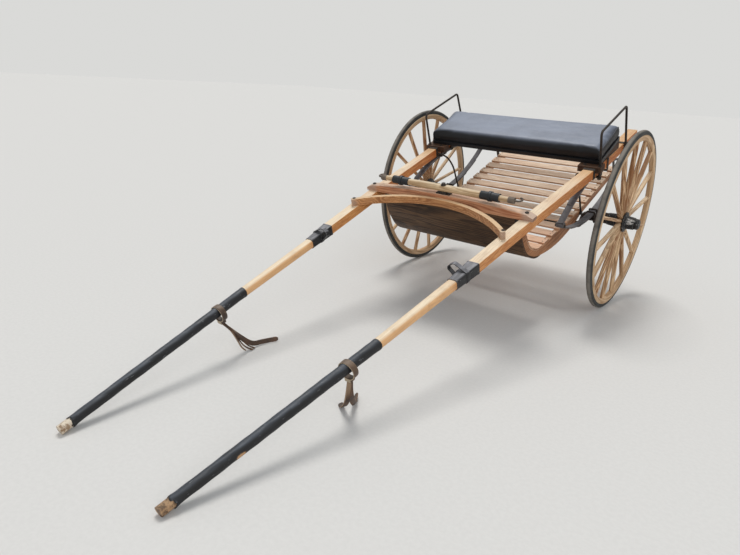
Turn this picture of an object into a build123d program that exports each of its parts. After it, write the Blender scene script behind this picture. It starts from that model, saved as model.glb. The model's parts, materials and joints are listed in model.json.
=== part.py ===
from build123d import *
import os
from math import asin, atan2, cos, degrees, hypot, radians, sin, sqrt, tan

# A two-wheeled road cart, parked on its wheels and its two shaft tips.
# Origin: on the ground, midway along the cart. +Z is up, the shafts reach
# towards -Y, and +X is the cart's own left-hand side. All sizes in millimetres.

# Wheels
wheel_radius = 560.0
camber = 1.5
tyre_width = 32.0
tyre_depth = 28.0
felloe_depth = 34.0
felloe_width = 34.0
felloe_chamfer = 5.0
spoke_count = 16
spoke_width = 32.0
spoke_thick = 20.0
spoke_head_width = 28.0
dish = 11.0
hub_flange_radius = 62.0
hub_flange_thick = 9.0
hub_barrel_radius = 46.0
hub_core_radius = 24.0
hub_nose_radius = 37.0
hub_nose_length = 80.0
hub_back_length = 82.0
cap_radius = 33.0
cap_length = 28.0
cap_wall = 5.0
axle_arm_radius = 16.0
axle_nut_radius = 21.0
axle_nut_thick = 12.0
running_gap = 0.08
end_play = 0.5

# Axle and springs
axle_size = 30.0
axle_drop = 80.0
axle_bend = 18.0
crank_side_gap = 48.0
crank_run = 24.0
collar_radius = 34.0
collar_thick = 14.0
hub_side_gap = 70.5
spring_side_gap = 67.0
spring_width = 38.0
spring_half_lengths = (520.0, 390.0, 240.0)
leaf_thick = 5.0
spring_rise = 145.0
eye_radius = 13.0
cheek_thick = 4.0
spring_bolt_radius = 6.0
bolt_gap = 0.1
u_bolt_radius = 5.0
clip_plate_thick = 6.0
clip_band_u = 45.0
clip_band_width = 25.0
clip_band_thick = 4.0
axle_to_shaft = 345.0

# Shafts
shaft_width = 62.0
shaft_depth = 56.0
shaft_side_gap = 77.0
tip_reach = 3045.0
tail_reach = 610.0
tip_radius = 19.0
tip_h = -23.0
wrap_front_u = -1545.0
wrap_rear_u = -1375.0
wrap_thick = 3.0
strap_width = 24.0
strap_thick = 4.0
loop_u = -1462.0
ring_u = -2228.0
ring_inner_radius = 37.0
ring_width = 28.0

# Crossbar, bow and singletree
bar_u = -884.0
bar_overhang = 29.0
bar_thick = 50.0
bar_height = 58.0
bar_end_height = 35.0
bar_bevel = 40.0
bow_side_gap = 6.0
bow_rise = 205.0
bow_thick = 24.0
bow_height = 42.0
plate_thick = 5.0
boss_height = 10.0
boss_radius = 20.0
pivot_radius = 8.0
tree_half_length = 425.0
tree_radius = 20.0
tree_end_radius = 14.0
tree_flat = 17.0
tree_swing_gap = 0.3
keeper_x = 289.0
keeper_half_length = 55.0
keeper_radius = 23.0
keeper_ring_radius = 28.0
hook_radius = 5.0

# Basket: the rail line's corners from the toe back, and its belly, as (u, h)
basket_half_width = 450.0
basket_front_u = -838.0
basket_top_h = 20.0
basket_corners = ((-838.0, -115.0), (-768.0, -262.0), (-640.0, -345.0), (0.0, -374.0))
basket_rear = (690.0, -326.0)
basket_bend = 200.0
belly_points = ((-640.0, -340.0), (-300.0, -405.0), (60.0, -365.0))
toe_end_u = -560.0
rail_width = 36.0
rail_depth = 36.0
board_thick = 12.0
board_joint = 1.5
toe_boards = 9
slat_width = 70.0
slat_gap = 24.0
rear_bar_inset = 40.0
rear_bar_width = 44.0
rear_bar_height = 42.0
iron_thick = 6.0
hanger_radius = 6.0
hanger_u = -152.0

# Seat
seat_overhang = 3.0
seat_front_u = -95.0
seat_depth = 346.0
seat_pitch = 8.0
seat_lift = 10.0
cushion_thick = 80.0
cushion_round = 22.0
seat_board_thick = 22.0
soft_gap = 0.3
arm_rail_gap = 1.0
arm_rail_radius = 7.0
arm_front_u = -112.0
arm_rear_u = 340.0
arm_knees = ((-140.0, 255.0), (280.0, 285.0))
arm_bend = 24.0
block_front_u = -135.0
block_rear_u = -65.0
block_side_gap = 20.0
clamp_overhang = 13.0
clamp_width = 24.0
clamp_thick = 4.0
clamp_bolt_radius = 5.0
clamp_bolt_gap = 7.0
nut_thick = 10.0

# Places across the cart, from the basket's sides outward
hub_run_in = dish + hub_back_length + end_play + collar_thick
spring_x = basket_half_width + spring_side_gap + spring_width / 2
half_track = spring_x + spring_width / 2 + hub_side_gap + hub_run_in
axle_crank_out = spring_x - crank_side_gap
axle_crank_in = axle_crank_out - crank_run
bar_half_length = basket_half_width + shaft_width + bar_overhang
bow_half_span = basket_half_width + shaft_width / 2 + bow_side_gap
arm_rail_x = basket_half_width + shaft_side_gap + shaft_width + arm_rail_gap + arm_rail_radius
seat_half_width = arm_rail_x + seat_overhang
block_x = (basket_half_width + block_side_gap, arm_rail_x + clamp_overhang)
rear_bar_u = tail_reach - rear_bar_inset

# Parking pitch, from the shaft tip's underside touching the ground
wheel_height = (wheel_radius - tyre_width / 2) * cos(radians(camber)) + tyre_width / 2
axle_height = wheel_height + hub_run_in * sin(radians(camber))
tip_drop = axle_to_shaft + tip_h - tip_radius
park_pitch = asin(axle_height / hypot(tip_reach, tip_drop)) + atan2(tip_drop, tip_reach)
pitch_sin = sin(park_pitch)
pitch_cos = cos(park_pitch)

# The axle's place along Y puts the origin midway between the two ends. What
# reaches furthest back is the basket's rear corner, the tails or the wheels.
front_end = tip_reach * pitch_cos + (tip_drop + 2 * tip_radius) * pitch_sin
rear_end = max(
    basket_rear[0] * pitch_cos - (axle_to_shaft + basket_rear[1]) * pitch_sin,
    tail_reach * pitch_cos - (axle_to_shaft - shaft_depth / 2) * pitch_sin,
    wheel_radius,
)
axle_y = (front_end - rear_end) / 2

# The deck is the tilted plane of the shafts' centre lines above the axle.
# Its local x is across, its local y (u) is rearward, its local z (h) is up.
deck_origin = Vector(0, axle_y - axle_to_shaft * pitch_sin, axle_height + axle_to_shaft * pitch_cos)
deck = Plane(origin=deck_origin, x_dir=(1, 0, 0), z_dir=(0, -pitch_sin, pitch_cos))


def on_deck(x, u, h):
    return deck.from_local_coords(Vector(x, u, h))


def side_plane(x):
    # local x is rearward (u), local y is up (h), the normal is +X
    return Plane(origin=on_deck(x, 0, 0), x_dir=deck.y_dir, z_dir=(1, 0, 0))


def front_plane(u):
    # local x is +X, local y is up (h), the normal points forward
    return Plane(origin=on_deck(0, u, 0), x_dir=(1, 0, 0), z_dir=-deck.y_dir)


def deck_plane(h):
    return deck.offset(h)


def save(piece, label):
    piece.label = label
    export_step(piece, f"parts/{label}.step")


os.makedirs("parts", exist_ok=True)
sides = (("left", 1), ("right", -1))

# Shafts: sections along the pole, placed from half a shaft outside the basket
# (u, further out, h, width, depth, corner radius)
shaft_sections = (
    (tail_reach, shaft_side_gap - 1.0, 0.0, shaft_width, shaft_depth, 3.0),
    (60.0, shaft_side_gap, 0.0, shaft_width, shaft_depth, 3.0),
    (-160.0, 66.0, 0.0, shaft_width, shaft_depth, 3.0),
    (-900.0, 16.0, -3.0, shaft_width, shaft_depth, 3.0),
    (wrap_rear_u, -19.0, -12.0, 58.0, 52.0, 4.0),
    (wrap_front_u, -33.0, -17.0, 50.0, 49.0, 16.0),
    (-2070.0, -73.0, -19.0, 47.0, 47.0, 23.0),
    (-tip_reach, -164.0, tip_h, 2 * tip_radius, 2 * tip_radius, tip_radius - 0.5),
)
# (u, x, h, width, depth, corner radius)
shaft_rows = [
    (u, basket_half_width + shaft_width / 2 + further_out, *section)
    for u, further_out, *section in shaft_sections
]


def shaft_at(u, column):
    for rear, front in zip(shaft_rows, shaft_rows[1:]):
        if front[0] <= u <= rear[0]:
            t = (u - rear[0]) / (front[0] - rear[0])
            return rear[column] + t * (front[column] - rear[column])
    raise ValueError("u lies off the shaft")


def shaft_x(u):
    return shaft_at(u, 1)


def shaft_h(u):
    return shaft_at(u, 2)


def shaft_top(u):
    return shaft_h(u) + shaft_at(u, 4) / 2


def clamp_bolt_x(u):
    # the clamp bolt passes close by the shaft's inner face
    return shaft_x(u) - shaft_width / 2 - clamp_bolt_radius - clamp_bolt_gap


shafts = {}
for name, s in sides:
    with BuildPart() as shaft:
        for u, x, h, width, depth, corner in shaft_rows:
            with BuildSketch(front_plane(u)):
                with Locations((s * x, h)):
                    RectangleRounded(width, depth, corner)
        loft(ruled=True)
    shafts[name] = shaft.part
    save(shaft.part, f"shaft_{name}")

# Leather wraps on the shafts, and the holdback strap's loop standing on each
for name, s in sides:
    with BuildPart() as wrap:
        for u in (wrap_rear_u, wrap_front_u):
            with BuildSketch(front_plane(u)):
                with Locations((s * shaft_x(u), shaft_h(u))):
                    RectangleRounded(
                        shaft_at(u, 3) + 2 * wrap_thick,
                        shaft_at(u, 4) + 2 * wrap_thick,
                        shaft_at(u, 5) + wrap_thick,
                    )
        loft(ruled=True)
        add(shafts[name], mode=Mode.SUBTRACT)
    save(wrap.part, f"shaft_wrap_{name}")

    half_wide = shaft_at(loop_u, 3) / 2 + wrap_thick
    half_tall = shaft_at(loop_u, 4) / 2 + wrap_thick
    inner = shaft_x(loop_u) - half_wide
    with BuildPart() as loop:
        with BuildSketch(front_plane(loop_u)):
            with BuildLine():
                FilletPolyline(
                    (s * (inner + 2 * half_wide - 6), shaft_h(loop_u) + half_tall),
                    (s * (inner - 12), shaft_h(loop_u) + half_tall + 34),
                    (s * (inner - 54), shaft_h(loop_u) + half_tall + 6),
                    (s * (inner + 2), shaft_h(loop_u) - half_tall + 10),
                    radius=17,
                )
            trace(line_width=strap_thick)
        extrude(amount=strap_width / 2, both=True)
        add(wrap.part, mode=Mode.SUBTRACT)
        add(shafts[name], mode=Mode.SUBTRACT)
    save(loop.part, f"holdback_loop_{name}")

# Tug rings: a strap ring hanging on each shaft, with a sewn block below it
block_width = 30.0
block_height = 12.0
ring_rear_u = ring_u + ring_width / 2
ring_h = shaft_h(ring_rear_u) + shaft_at(ring_rear_u, 4) / 2 + soft_gap - ring_inner_radius
block_base = ring_h - ring_inner_radius - strap_thick - block_height
rings = {}
for name, s in sides:
    with BuildPart() as ring:
        with BuildSketch(front_plane(ring_u)):
            with Locations((s * shaft_x(ring_u), ring_h)):
                Circle(ring_inner_radius + strap_thick)
            with Locations((s * shaft_x(ring_u), block_base + block_height)):
                Rectangle(block_width, 2 * block_height)
            with Locations((s * shaft_x(ring_u), ring_h)):
                Circle(ring_inner_radius, mode=Mode.SUBTRACT)
        extrude(amount=ring_width / 2, both=True)
    rings[name] = ring.part
    save(ring.part, f"tug_ring_{name}")

# Tug tails: loose straps from the blocks to the ground, each in an upright
# plane and cut flush with its block's underside
# (side name, heading (x, y), points (along, share of the drop))
tail_base = 0.3
tail_runs = (
    ("left", (-85.0, 140.0), ((0.0, 1.0), (18.0, 0.55), (150.0, 0.0), (215.0, 0.0))),
    ("right", (35.0, 330.0), ((0.0, 1.0), (30.0, 0.55), (190.0, 0.0), (330.0, 0.0))),
)
side_sign = dict(sides)
for name, heading, points in tail_runs:
    foot = on_deck(side_sign[name] * shaft_x(ring_u), ring_u, block_base)
    drop_start = foot.Z + block_height / 2
    low = tail_base + strap_thick / 2
    upright = Plane(
        origin=(foot.X, foot.Y, 0),
        x_dir=(heading[0], heading[1], 0),
        z_dir=(heading[1], -heading[0], 0),
    )
    with BuildPart() as tail:
        with BuildSketch(upright):
            with BuildLine():
                FilletPolyline(*[(along, low + part * (drop_start - low)) for along, part in points], radius=55)
            trace(line_width=strap_thick)
        extrude(amount=strap_width / 2, both=True)
        add(rings[name], mode=Mode.SUBTRACT)
    save(tail.part, f"tug_tail_{name}")

# Crossbar, notched over the shafts, with a crowned top and bevelled ends
bar_front_u = bar_u - bar_thick / 2
bar_rear_u = bar_u + bar_thick / 2
bar_base = shaft_top(bar_front_u)
bar_top = bar_base + bar_height
bar_end_top = bar_base + bar_end_height
with BuildPart() as crossbar:
    with BuildSketch(front_plane(bar_rear_u)):
        with BuildLine():
            top = ThreePointArc(
                (-bar_half_length + bar_bevel, bar_end_top),
                (0, bar_top),
                (bar_half_length - bar_bevel, bar_end_top),
            )
            Polyline(
                top @ 1,
                (bar_half_length, bar_base + bar_end_height / 2),
                (bar_half_length, bar_base),
                (-bar_half_length, bar_base),
                (-bar_half_length, bar_base + bar_end_height / 2),
                top @ 0,
            )
        make_face()
    extrude(amount=bar_thick)
    fillet(crossbar.edges().filter_by(GeomType.CIRCLE), 6)
    for name, s in sides:
        add(shafts[name], mode=Mode.SUBTRACT)
save(crossbar.part, "crossbar")

# Bow: a bent strip, its ends dressed to the shafts, its middle on the crossbar
bow_mid_u = bar_front_u - bow_thick / 2
bow_end_u = bow_mid_u - bow_rise
bow_base = shaft_top(bow_end_u)
with BuildPart() as bow:
    with BuildSketch(deck_plane(bow_base)):
        with BuildLine():
            ThreePointArc(
                (-bow_half_span, bow_end_u),
                (0, bow_mid_u),
                (bow_half_span, bow_end_u),
            )
        trace(line_width=bow_thick)
    extrude(amount=bow_height)
    for name, s in sides:
        add(shafts[name], mode=Mode.SUBTRACT)
save(bow.part, "bow")

# Pivot plate, boss, bolt and washer that carry the singletree
boss_top = bar_top + plate_thick + boss_height
tree_h = boss_top + tree_swing_gap + tree_flat
washer_base = tree_h + tree_flat + tree_swing_gap
with BuildPart() as pivot:
    with BuildSketch(deck_plane(bar_top)):
        with Locations((0, bar_u)):
            RectangleRounded(90, bar_thick - 14, 8)
    extrude(amount=plate_thick)
    with BuildSketch(deck_plane(bar_top + plate_thick)):
        with Locations((0, bar_u)):
            Circle(boss_radius)
    extrude(amount=boss_height)
    with BuildSketch(deck_plane(boss_top)):
        with Locations((0, bar_u)):
            Circle(pivot_radius)
    extrude(amount=washer_base - boss_top)
    with BuildSketch(deck_plane(washer_base)):
        with Locations((0, bar_u)):
            Circle(2 * pivot_radius)
    extrude(amount=3)
    with BuildSketch(deck_plane(washer_base + 3)):
        with Locations((0, bar_u)):
            RegularPolygon(1.6 * pivot_radius, 6)
    extrude(amount=9)
save(pivot.part, "singletree_pivot")

# Singletree: a turned bar with flats at its middle, bored for the pivot bolt
tree_plane = Plane(origin=on_deck(0, bar_u, tree_h), x_dir=(1, 0, 0), z_dir=deck.z_dir)
tree_line = Axis(tree_plane.origin, (1, 0, 0))
with BuildPart() as singletree:
    with BuildSketch(tree_plane):
        with BuildLine():
            Polyline(
                (-tree_half_length, 0),
                (-tree_half_length, tree_end_radius),
                (-150, tree_radius),
                (150, tree_radius),
                (tree_half_length, tree_end_radius),
                (tree_half_length, 0),
                close=True,
            )
        make_face()
    revolve(axis=tree_line)
    for side in (-1, 1):
        with BuildSketch(tree_plane.offset(side * tree_flat)):
            Rectangle(100, 3 * tree_radius)
        extrude(amount=side * tree_radius, mode=Mode.SUBTRACT)
    with BuildSketch(tree_plane):
        Circle(pivot_radius + running_gap)
    extrude(amount=2 * tree_radius, both=True, mode=Mode.SUBTRACT)
save(singletree.part, "singletree")

# Trace keepers: rubber sleeves on the singletree, each with a raised ring
with BuildPart() as keepers:
    with BuildSketch(tree_plane):
        for s in (-1, 1):
            with BuildLine():
                Polyline(
                    (s * (keeper_x - keeper_half_length), 0),
                    (s * (keeper_x - keeper_half_length), keeper_radius),
                    (s * (keeper_x - 9), keeper_radius),
                    (s * (keeper_x - 9), keeper_ring_radius),
                    (s * (keeper_x + 9), keeper_ring_radius),
                    (s * (keeper_x + 9), keeper_radius),
                    (s * (keeper_x + keeper_half_length), keeper_radius),
                    (s * (keeper_x + keeper_half_length), 0),
                    close=True,
                )
            make_face()
    revolve(axis=tree_line)
    add(singletree.part, mode=Mode.SUBTRACT)
save(keepers.part, "trace_keepers")

# Trace hooks: a ferrule over each end of the singletree and a forged hook
ferrule_radius = tree_end_radius + 3
hook_bend = 20.0
with BuildPart() as hooks:
    with BuildSketch(tree_plane):
        for s in (-1, 1):
            with Locations((s * (tree_half_length - 13), ferrule_radius / 2)):
                Rectangle(34, ferrule_radius)
    revolve(axis=tree_line)
    add(singletree.part, mode=Mode.SUBTRACT)
    for s in (-1, 1):
        hook_x = s * (tree_half_length + 3)
        with BuildLine(tree_plane) as hook_line:
            neck = Line((hook_x, 0), (hook_x + s * 14, 0))
            ThreePointArc(
                neck @ 1,
                (hook_x + s * (14 + hook_bend), hook_bend),
                (hook_x + s * 14, 2 * hook_bend),
            )
        with BuildSketch(Plane(origin=neck @ 0, z_dir=neck % 0)):
            Circle(hook_radius)
        sweep(path=hook_line.line)
save(hooks.part, "trace_hooks")

# Basket: the rails' outer line in the deck's side plane, and its toe part
floor_start, floor_mid = basket_corners[-2:]
toe_share = (toe_end_u - floor_start[0]) / (floor_mid[0] - floor_start[0])
toe_end = (toe_end_u, floor_start[1] + toe_share * (floor_mid[1] - floor_start[1]))
with BuildLine() as basket_run:
    FilletPolyline((basket_front_u, basket_top_h), *basket_corners, basket_rear, radius=basket_bend)
with BuildLine() as toe_run:
    FilletPolyline((basket_front_u, basket_top_h), *basket_corners[:-1], toe_end, radius=basket_bend)

rails = {}
for name, s in sides:
    with BuildPart() as rail:
        with BuildSketch(side_plane(s * (basket_half_width - rail_width / 2))):
            with BuildLine():
                offset(basket_run.line, rail_depth, side=Side.LEFT, closed=True)
            make_face()
            with BuildLine():
                belly = ThreePointArc(*belly_points)
                Line(belly @ 1, belly @ 0)
            make_face()
        extrude(amount=rail_width / 2, both=True)
    rails[name] = rail.part
    save(rail.part, f"basket_rail_{name}")

with BuildPart() as front_panel:
    with BuildSketch(side_plane(0)):
        with BuildLine():
            offset(toe_run.line, board_thick, side=Side.RIGHT, closed=True)
        make_face()
    extrude(amount=basket_half_width, both=True)
    for name, s in sides:
        add(rails[name], mode=Mode.SUBTRACT)
save(front_panel.part, "basket_front")

# Toe boards: narrow boards set edge to edge round the inside of the toe
with BuildPart() as toe:
    with BuildSketch(side_plane(0)):
        with BuildLine():
            offset(toe_run.line, rail_depth + board_thick, side=Side.LEFT, closed=True)
        make_face()
        with BuildLine():
            offset(toe_run.line, rail_depth, side=Side.LEFT, closed=True)
        make_face(mode=Mode.SUBTRACT)
        for i in range(1, toe_boards):
            point = toe_run.line @ (i / toe_boards)
            along = toe_run.line % (i / toe_boards)
            with BuildLine():
                Polyline(
                    point + Vector(-along.Y, along.X) * rail_depth / 2 - along * board_joint / 2,
                    point + Vector(-along.Y, along.X) * rail_depth * 2 - along * board_joint / 2,
                    point + Vector(-along.Y, along.X) * rail_depth * 2 + along * board_joint / 2,
                    point + Vector(-along.Y, along.X) * rail_depth / 2 + along * board_joint / 2,
                    close=True,
                )
            make_face(mode=Mode.SUBTRACT)
    extrude(amount=basket_half_width, both=True)
save(toe.part, "basket_toe")

# Floor slats, laid across the rails with even gaps, level with the toe boards
slat_level = rail_depth + board_thick / 2
with BuildPart() as slats:
    for start, end in ((toe_end, floor_mid), (floor_mid, basket_rear)):
        run = hypot(end[0] - start[0], end[1] - start[1])
        slope = atan2(end[1] - start[1], end[0] - start[0])
        count = int(run // (slat_width + slat_gap))
        for i in range(count):
            along = slat_gap + slat_width / 2 + i * run / count
            slat_u = start[0] + along * cos(slope) - slat_level * sin(slope)
            slat_h = start[1] + along * sin(slope) + slat_level * cos(slope)
            with BuildSketch(side_plane(0)):
                with Locations(Location((slat_u, slat_h, 0), (0, 0, degrees(slope)))):
                    Rectangle(slat_width, board_thick)
            extrude(amount=basket_half_width, both=True)
save(slats.part, "basket_slats")

# Front brackets: angle irons from the crossbar's underside to the front panel
panel_face_u = basket_front_u - board_thick
with BuildPart() as brackets:
    for name, s in sides:
        with BuildSketch(side_plane(s * (basket_half_width - rail_width / 2))):
            with BuildLine():
                Polyline(
                    (bar_u - 15, bar_base),
                    (panel_face_u, bar_base),
                    (panel_face_u, bar_base - 85),
                    (panel_face_u - iron_thick, bar_base - 85),
                    (panel_face_u - iron_thick, bar_base - iron_thick),
                    (bar_u - 15, bar_base - iron_thick),
                    close=True,
                )
            make_face()
        extrude(amount=rail_width / 2 - 3, both=True)
save(brackets.part, "basket_brackets")

# Side hangers: a band round each shaft and a curved rod down to the basket rail
# (outside the basket, u, h)
rod_path = (
    (35.0, hanger_u + 2, -9.0),
    (16.0, -132.0, -26.0),
    (hanger_radius, -79.0, -86.0),
    (hanger_radius, -43.0, -145.0),
    (hanger_radius, -20.0, -215.0),
    (hanger_radius, 2.0, -286.0),
    (hanger_radius, 27.0, -354.0),
)
for name, s in sides:
    inner_face = shaft_x(hanger_u) - shaft_width / 2
    with BuildPart() as hanger:
        with BuildSketch(front_plane(hanger_u)):
            with Locations((s * shaft_x(hanger_u), 0)):
                Rectangle(shaft_width + 6, shaft_depth + 6)
                Rectangle(shaft_width - 6, shaft_depth, mode=Mode.SUBTRACT)
        extrude(amount=13, both=True)
        with BuildLine() as rod_line:
            Spline(
                on_deck(s * (inner_face - 1), hanger_u, -8),
                *[on_deck(s * (basket_half_width + out), u, h) for out, u, h in rod_path],
            )
        with BuildSketch(Plane(origin=rod_line.line @ 0, z_dir=rod_line.line % 0)):
            Circle(hanger_radius)
        sweep(path=rod_line.line)
        with BuildSketch(side_plane(s * basket_half_width)):
            with Locations(rod_path[-1][1:]):
                Circle(2.3 * hanger_radius)
        extrude(amount=s * 2 * hanger_radius)
        add(shafts[name], mode=Mode.SUBTRACT)
    save(hanger.part, f"basket_hanger_{name}")

# Rear bar under the shaft tails, and the irons that hold the basket's rear end
rear_bar_top = -shaft_depth / 2
rear_bar_base = rear_bar_top - rear_bar_height
with BuildPart() as rear_bar:
    with BuildSketch(deck_plane(rear_bar_base)):
        with Locations((0, rear_bar_u)):
            Rectangle(2 * shaft_x(rear_bar_u) + shaft_width, rear_bar_width)
    extrude(amount=rear_bar_height)
save(rear_bar.part, "rear_bar")

rear_slope = (basket_rear[1] - floor_mid[1]) / (basket_rear[0] - floor_mid[0])
iron_foot_u = basket_rear[0] - 45
iron_foot_h = basket_rear[1] - 45 * rear_slope + 5
with BuildPart() as rear_irons:
    for name, s in sides:
        with BuildSketch(side_plane(s * (basket_half_width + iron_thick / 2))):
            with BuildLine():
                Polyline(
                    (iron_foot_u - 16, iron_foot_h),
                    (iron_foot_u + 16, iron_foot_h),
                    (rear_bar_u + 16, rear_bar_base),
                    (rear_bar_u - 16, rear_bar_base),
                    close=True,
                )
            make_face()
        extrude(amount=iron_thick / 2, both=True)
        with BuildSketch(deck_plane(rear_bar_base)):
            with Locations((s * (basket_half_width + 35), rear_bar_u)):
                Rectangle(70, 32)
        extrude(amount=-iron_thick)
save(rear_irons.part, "basket_rear_irons")

# Axle: a square bar, dropped between the springs, with a collar, a tilted arm
# and a nut at each end
arm_dir = {name: Vector(s * cos(radians(camber)), 0, -sin(radians(camber))) for name, s in sides}
wheel_centre = {name: Vector(s * half_track, axle_y, wheel_height) for name, s in sides}
shoulder_x = half_track - hub_run_in * cos(radians(camber))
axle_h = -axle_to_shaft
with BuildPart() as axle:
    with BuildSketch(front_plane(axle_size / 2)):
        with BuildLine():
            FilletPolyline(
                (-shoulder_x, axle_h),
                (-axle_crank_out, axle_h),
                (-axle_crank_in, axle_h - axle_drop),
                (axle_crank_in, axle_h - axle_drop),
                (axle_crank_out, axle_h),
                (shoulder_x, axle_h),
                radius=axle_bend,
            )
        trace(line_width=axle_size)
    extrude(amount=axle_size)
    for name, s in sides:
        shoulder = wheel_centre[name] - arm_dir[name] * hub_run_in
        arm = Plane(origin=shoulder, z_dir=arm_dir[name])
        hub_end = collar_thick + end_play + hub_back_length + hub_nose_length
        with BuildSketch(arm.offset(-8)):
            Circle(collar_radius)
        extrude(amount=collar_thick + 8)
        with BuildSketch(arm.offset(collar_thick)):
            Circle(axle_arm_radius)
        extrude(amount=hub_end + end_play + axle_nut_thick + 3 - collar_thick)
        with BuildSketch(arm.offset(hub_end + end_play)):
            RegularPolygon(axle_nut_radius, 6)
        extrude(amount=axle_nut_thick)
save(axle.part, "axle")

# Springs: full elliptic packs of leaves, lying lengthwise on the axle
leaf_base = axle_h + axle_size / 2
shaft_base = -shaft_depth / 2
pack_thick = len(spring_half_lengths) * leaf_thick
half_length = spring_half_lengths[0]
eye_h = leaf_base + pack_thick + spring_rise - leaf_thick
springs = {}
for name, s in sides:
    for half, sign, seat_h, end_h in (
        ("lower", 1, leaf_base, eye_h - eye_radius + leaf_thick),
        ("upper", -1, shaft_base, eye_h + eye_radius + bolt_gap),
    ):
        apex = seat_h + sign * pack_thick
        sagitta = abs(end_h - apex)
        curve = (half_length ** 2 + sagitta ** 2) / (2 * sagitta)
        with BuildPart() as spring:
            for i, reach in enumerate(spring_half_lengths):
                radius = curve + i * leaf_thick
                leaf_end = apex + sign * (curve - sqrt(radius ** 2 - reach ** 2))
                with BuildSketch(side_plane(s * spring_x)):
                    with BuildLine():
                        arc = ThreePointArc(
                            (-sign * reach, leaf_end),
                            (0, apex - sign * i * leaf_thick),
                            (sign * reach, leaf_end),
                            mode=Mode.PRIVATE,
                        )
                        offset(arc, leaf_thick, side=Side.RIGHT, closed=True)
                    make_face()
                extrude(amount=spring_width / 2, both=True)
            if half == "lower":
                with BuildSketch(side_plane(s * spring_x)):
                    with Locations((-half_length, eye_h), (half_length, eye_h)):
                        Circle(eye_radius)
                extrude(amount=spring_width / 2, both=True)
            else:
                for side in (-1, 1):
                    with BuildSketch(side_plane(s * spring_x + side * spring_width / 2)):
                        with Locations((-half_length, eye_h), (half_length, eye_h)):
                            Circle(eye_radius - 1)
                        with Locations(
                            (-half_length, eye_h + eye_radius / 2 + leaf_thick / 2),
                            (half_length, eye_h + eye_radius / 2 + leaf_thick / 2),
                        ):
                            Rectangle(2 * eye_radius - 2, eye_radius + leaf_thick)
                    extrude(amount=side * cheek_thick)
            with BuildSketch(side_plane(s * spring_x)):
                with Locations((-half_length, eye_h), (half_length, eye_h)):
                    Circle(spring_bolt_radius + bolt_gap)
            extrude(amount=spring_width, both=True, mode=Mode.SUBTRACT)
        springs[half, name] = spring.part
        save(spring.part, f"spring_{half}_{name}")

# Spring bolts: one through each eye, with a head and a nut outside the cheeks
with BuildPart() as spring_bolts:
    for name, s in sides:
        with BuildSketch(side_plane(s * spring_x)):
            with Locations((-half_length, eye_h), (half_length, eye_h)):
                Circle(spring_bolt_radius)
        extrude(amount=spring_width / 2 + cheek_thick, both=True)
        for side in (-1, 1):
            with BuildSketch(side_plane(s * spring_x + side * (spring_width / 2 + cheek_thick))):
                with Locations((-half_length, eye_h), (half_length, eye_h)):
                    Circle(1.7 * spring_bolt_radius)
            extrude(amount=side * spring_bolt_radius)
save(spring_bolts.part, "spring_bolts")

# Axle clips: two U-bolts over each lower spring, and a plate under the axle
leg_x = spring_width / 2 + u_bolt_radius + 0.5
leg_u = axle_size / 2 + u_bolt_radius + 1
saddle_h = leaf_base + pack_thick + u_bolt_radius + 0.5
plate_top = axle_h - axle_size / 2
leg_end = plate_top - clip_plate_thick - 16
with BuildPart() as axle_clips:
    for name, s in sides:
        with BuildSketch(deck_plane(plate_top)):
            with Locations((s * spring_x, 0)):
                RectangleRounded(2 * leg_x + 18, 2 * leg_u + 18, 8)
        extrude(amount=-clip_plate_thick)
        for side in (-1, 1):
            with BuildLine(front_plane(side * leg_u)) as u_line:
                FilletPolyline(
                    (s * spring_x - leg_x, leg_end),
                    (s * spring_x - leg_x, saddle_h),
                    (s * spring_x + leg_x, saddle_h),
                    (s * spring_x + leg_x, leg_end),
                    radius=u_bolt_radius + 1,
                )
            with BuildSketch(Plane(origin=u_line.line @ 0, z_dir=u_line.line % 0)):
                Circle(u_bolt_radius)
            sweep(path=u_line.line)
            with BuildSketch(deck_plane(plate_top - clip_plate_thick)):
                with Locations(
                    (s * spring_x - leg_x, side * leg_u),
                    (s * spring_x + leg_x, side * leg_u),
                ):
                    RegularPolygon(1.8 * u_bolt_radius, 6)
            extrude(amount=-8)
save(axle_clips.part, "axle_clips")

# Shaft clips: two closed bands that tie each upper spring to its shaft
with BuildPart() as shaft_clips:
    for name, s in sides:
        for u in (-clip_band_u, clip_band_u):
            inner = spring_x - spring_width / 2
            outer = shaft_x(u) + shaft_width / 2
            middle_x = s * (inner + outer) / 2
            middle_h = -pack_thick / 2
            with BuildSketch(front_plane(u)):
                with Locations((middle_x, middle_h)):
                    Rectangle(
                        outer - inner + 2 * clip_band_thick,
                        shaft_depth + pack_thick + 2 * clip_band_thick,
                    )
                    Rectangle(outer - inner, shaft_depth + pack_thick, mode=Mode.SUBTRACT)
            extrude(amount=clip_band_width / 2, both=True)
        add(shafts[name], mode=Mode.SUBTRACT)
        add(springs["upper", name], mode=Mode.SUBTRACT)
save(shaft_clips.part, "shaft_clips")

# Seat: a pitched board on a block and a wedge riser at each side, with a
# cushion on top
seat_slope = tan(radians(seat_pitch))
seat_run = seat_depth * cos(radians(seat_pitch))
seat_base = shaft_depth / 2 + seat_lift
seat_plane = Plane(
    origin=on_deck(0, seat_front_u, seat_base),
    x_dir=(1, 0, 0),
    z_dir=deck.z_dir * cos(radians(seat_pitch)) - deck.y_dir * sin(radians(seat_pitch)),
)
with BuildPart() as seat_board:
    with BuildSketch(seat_plane):
        with Locations((0, seat_depth / 2)):
            RectangleRounded(2 * seat_half_width - 20, seat_depth - 10, 12)
    extrude(amount=seat_board_thick)
save(seat_board.part, "seat_board")

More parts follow.
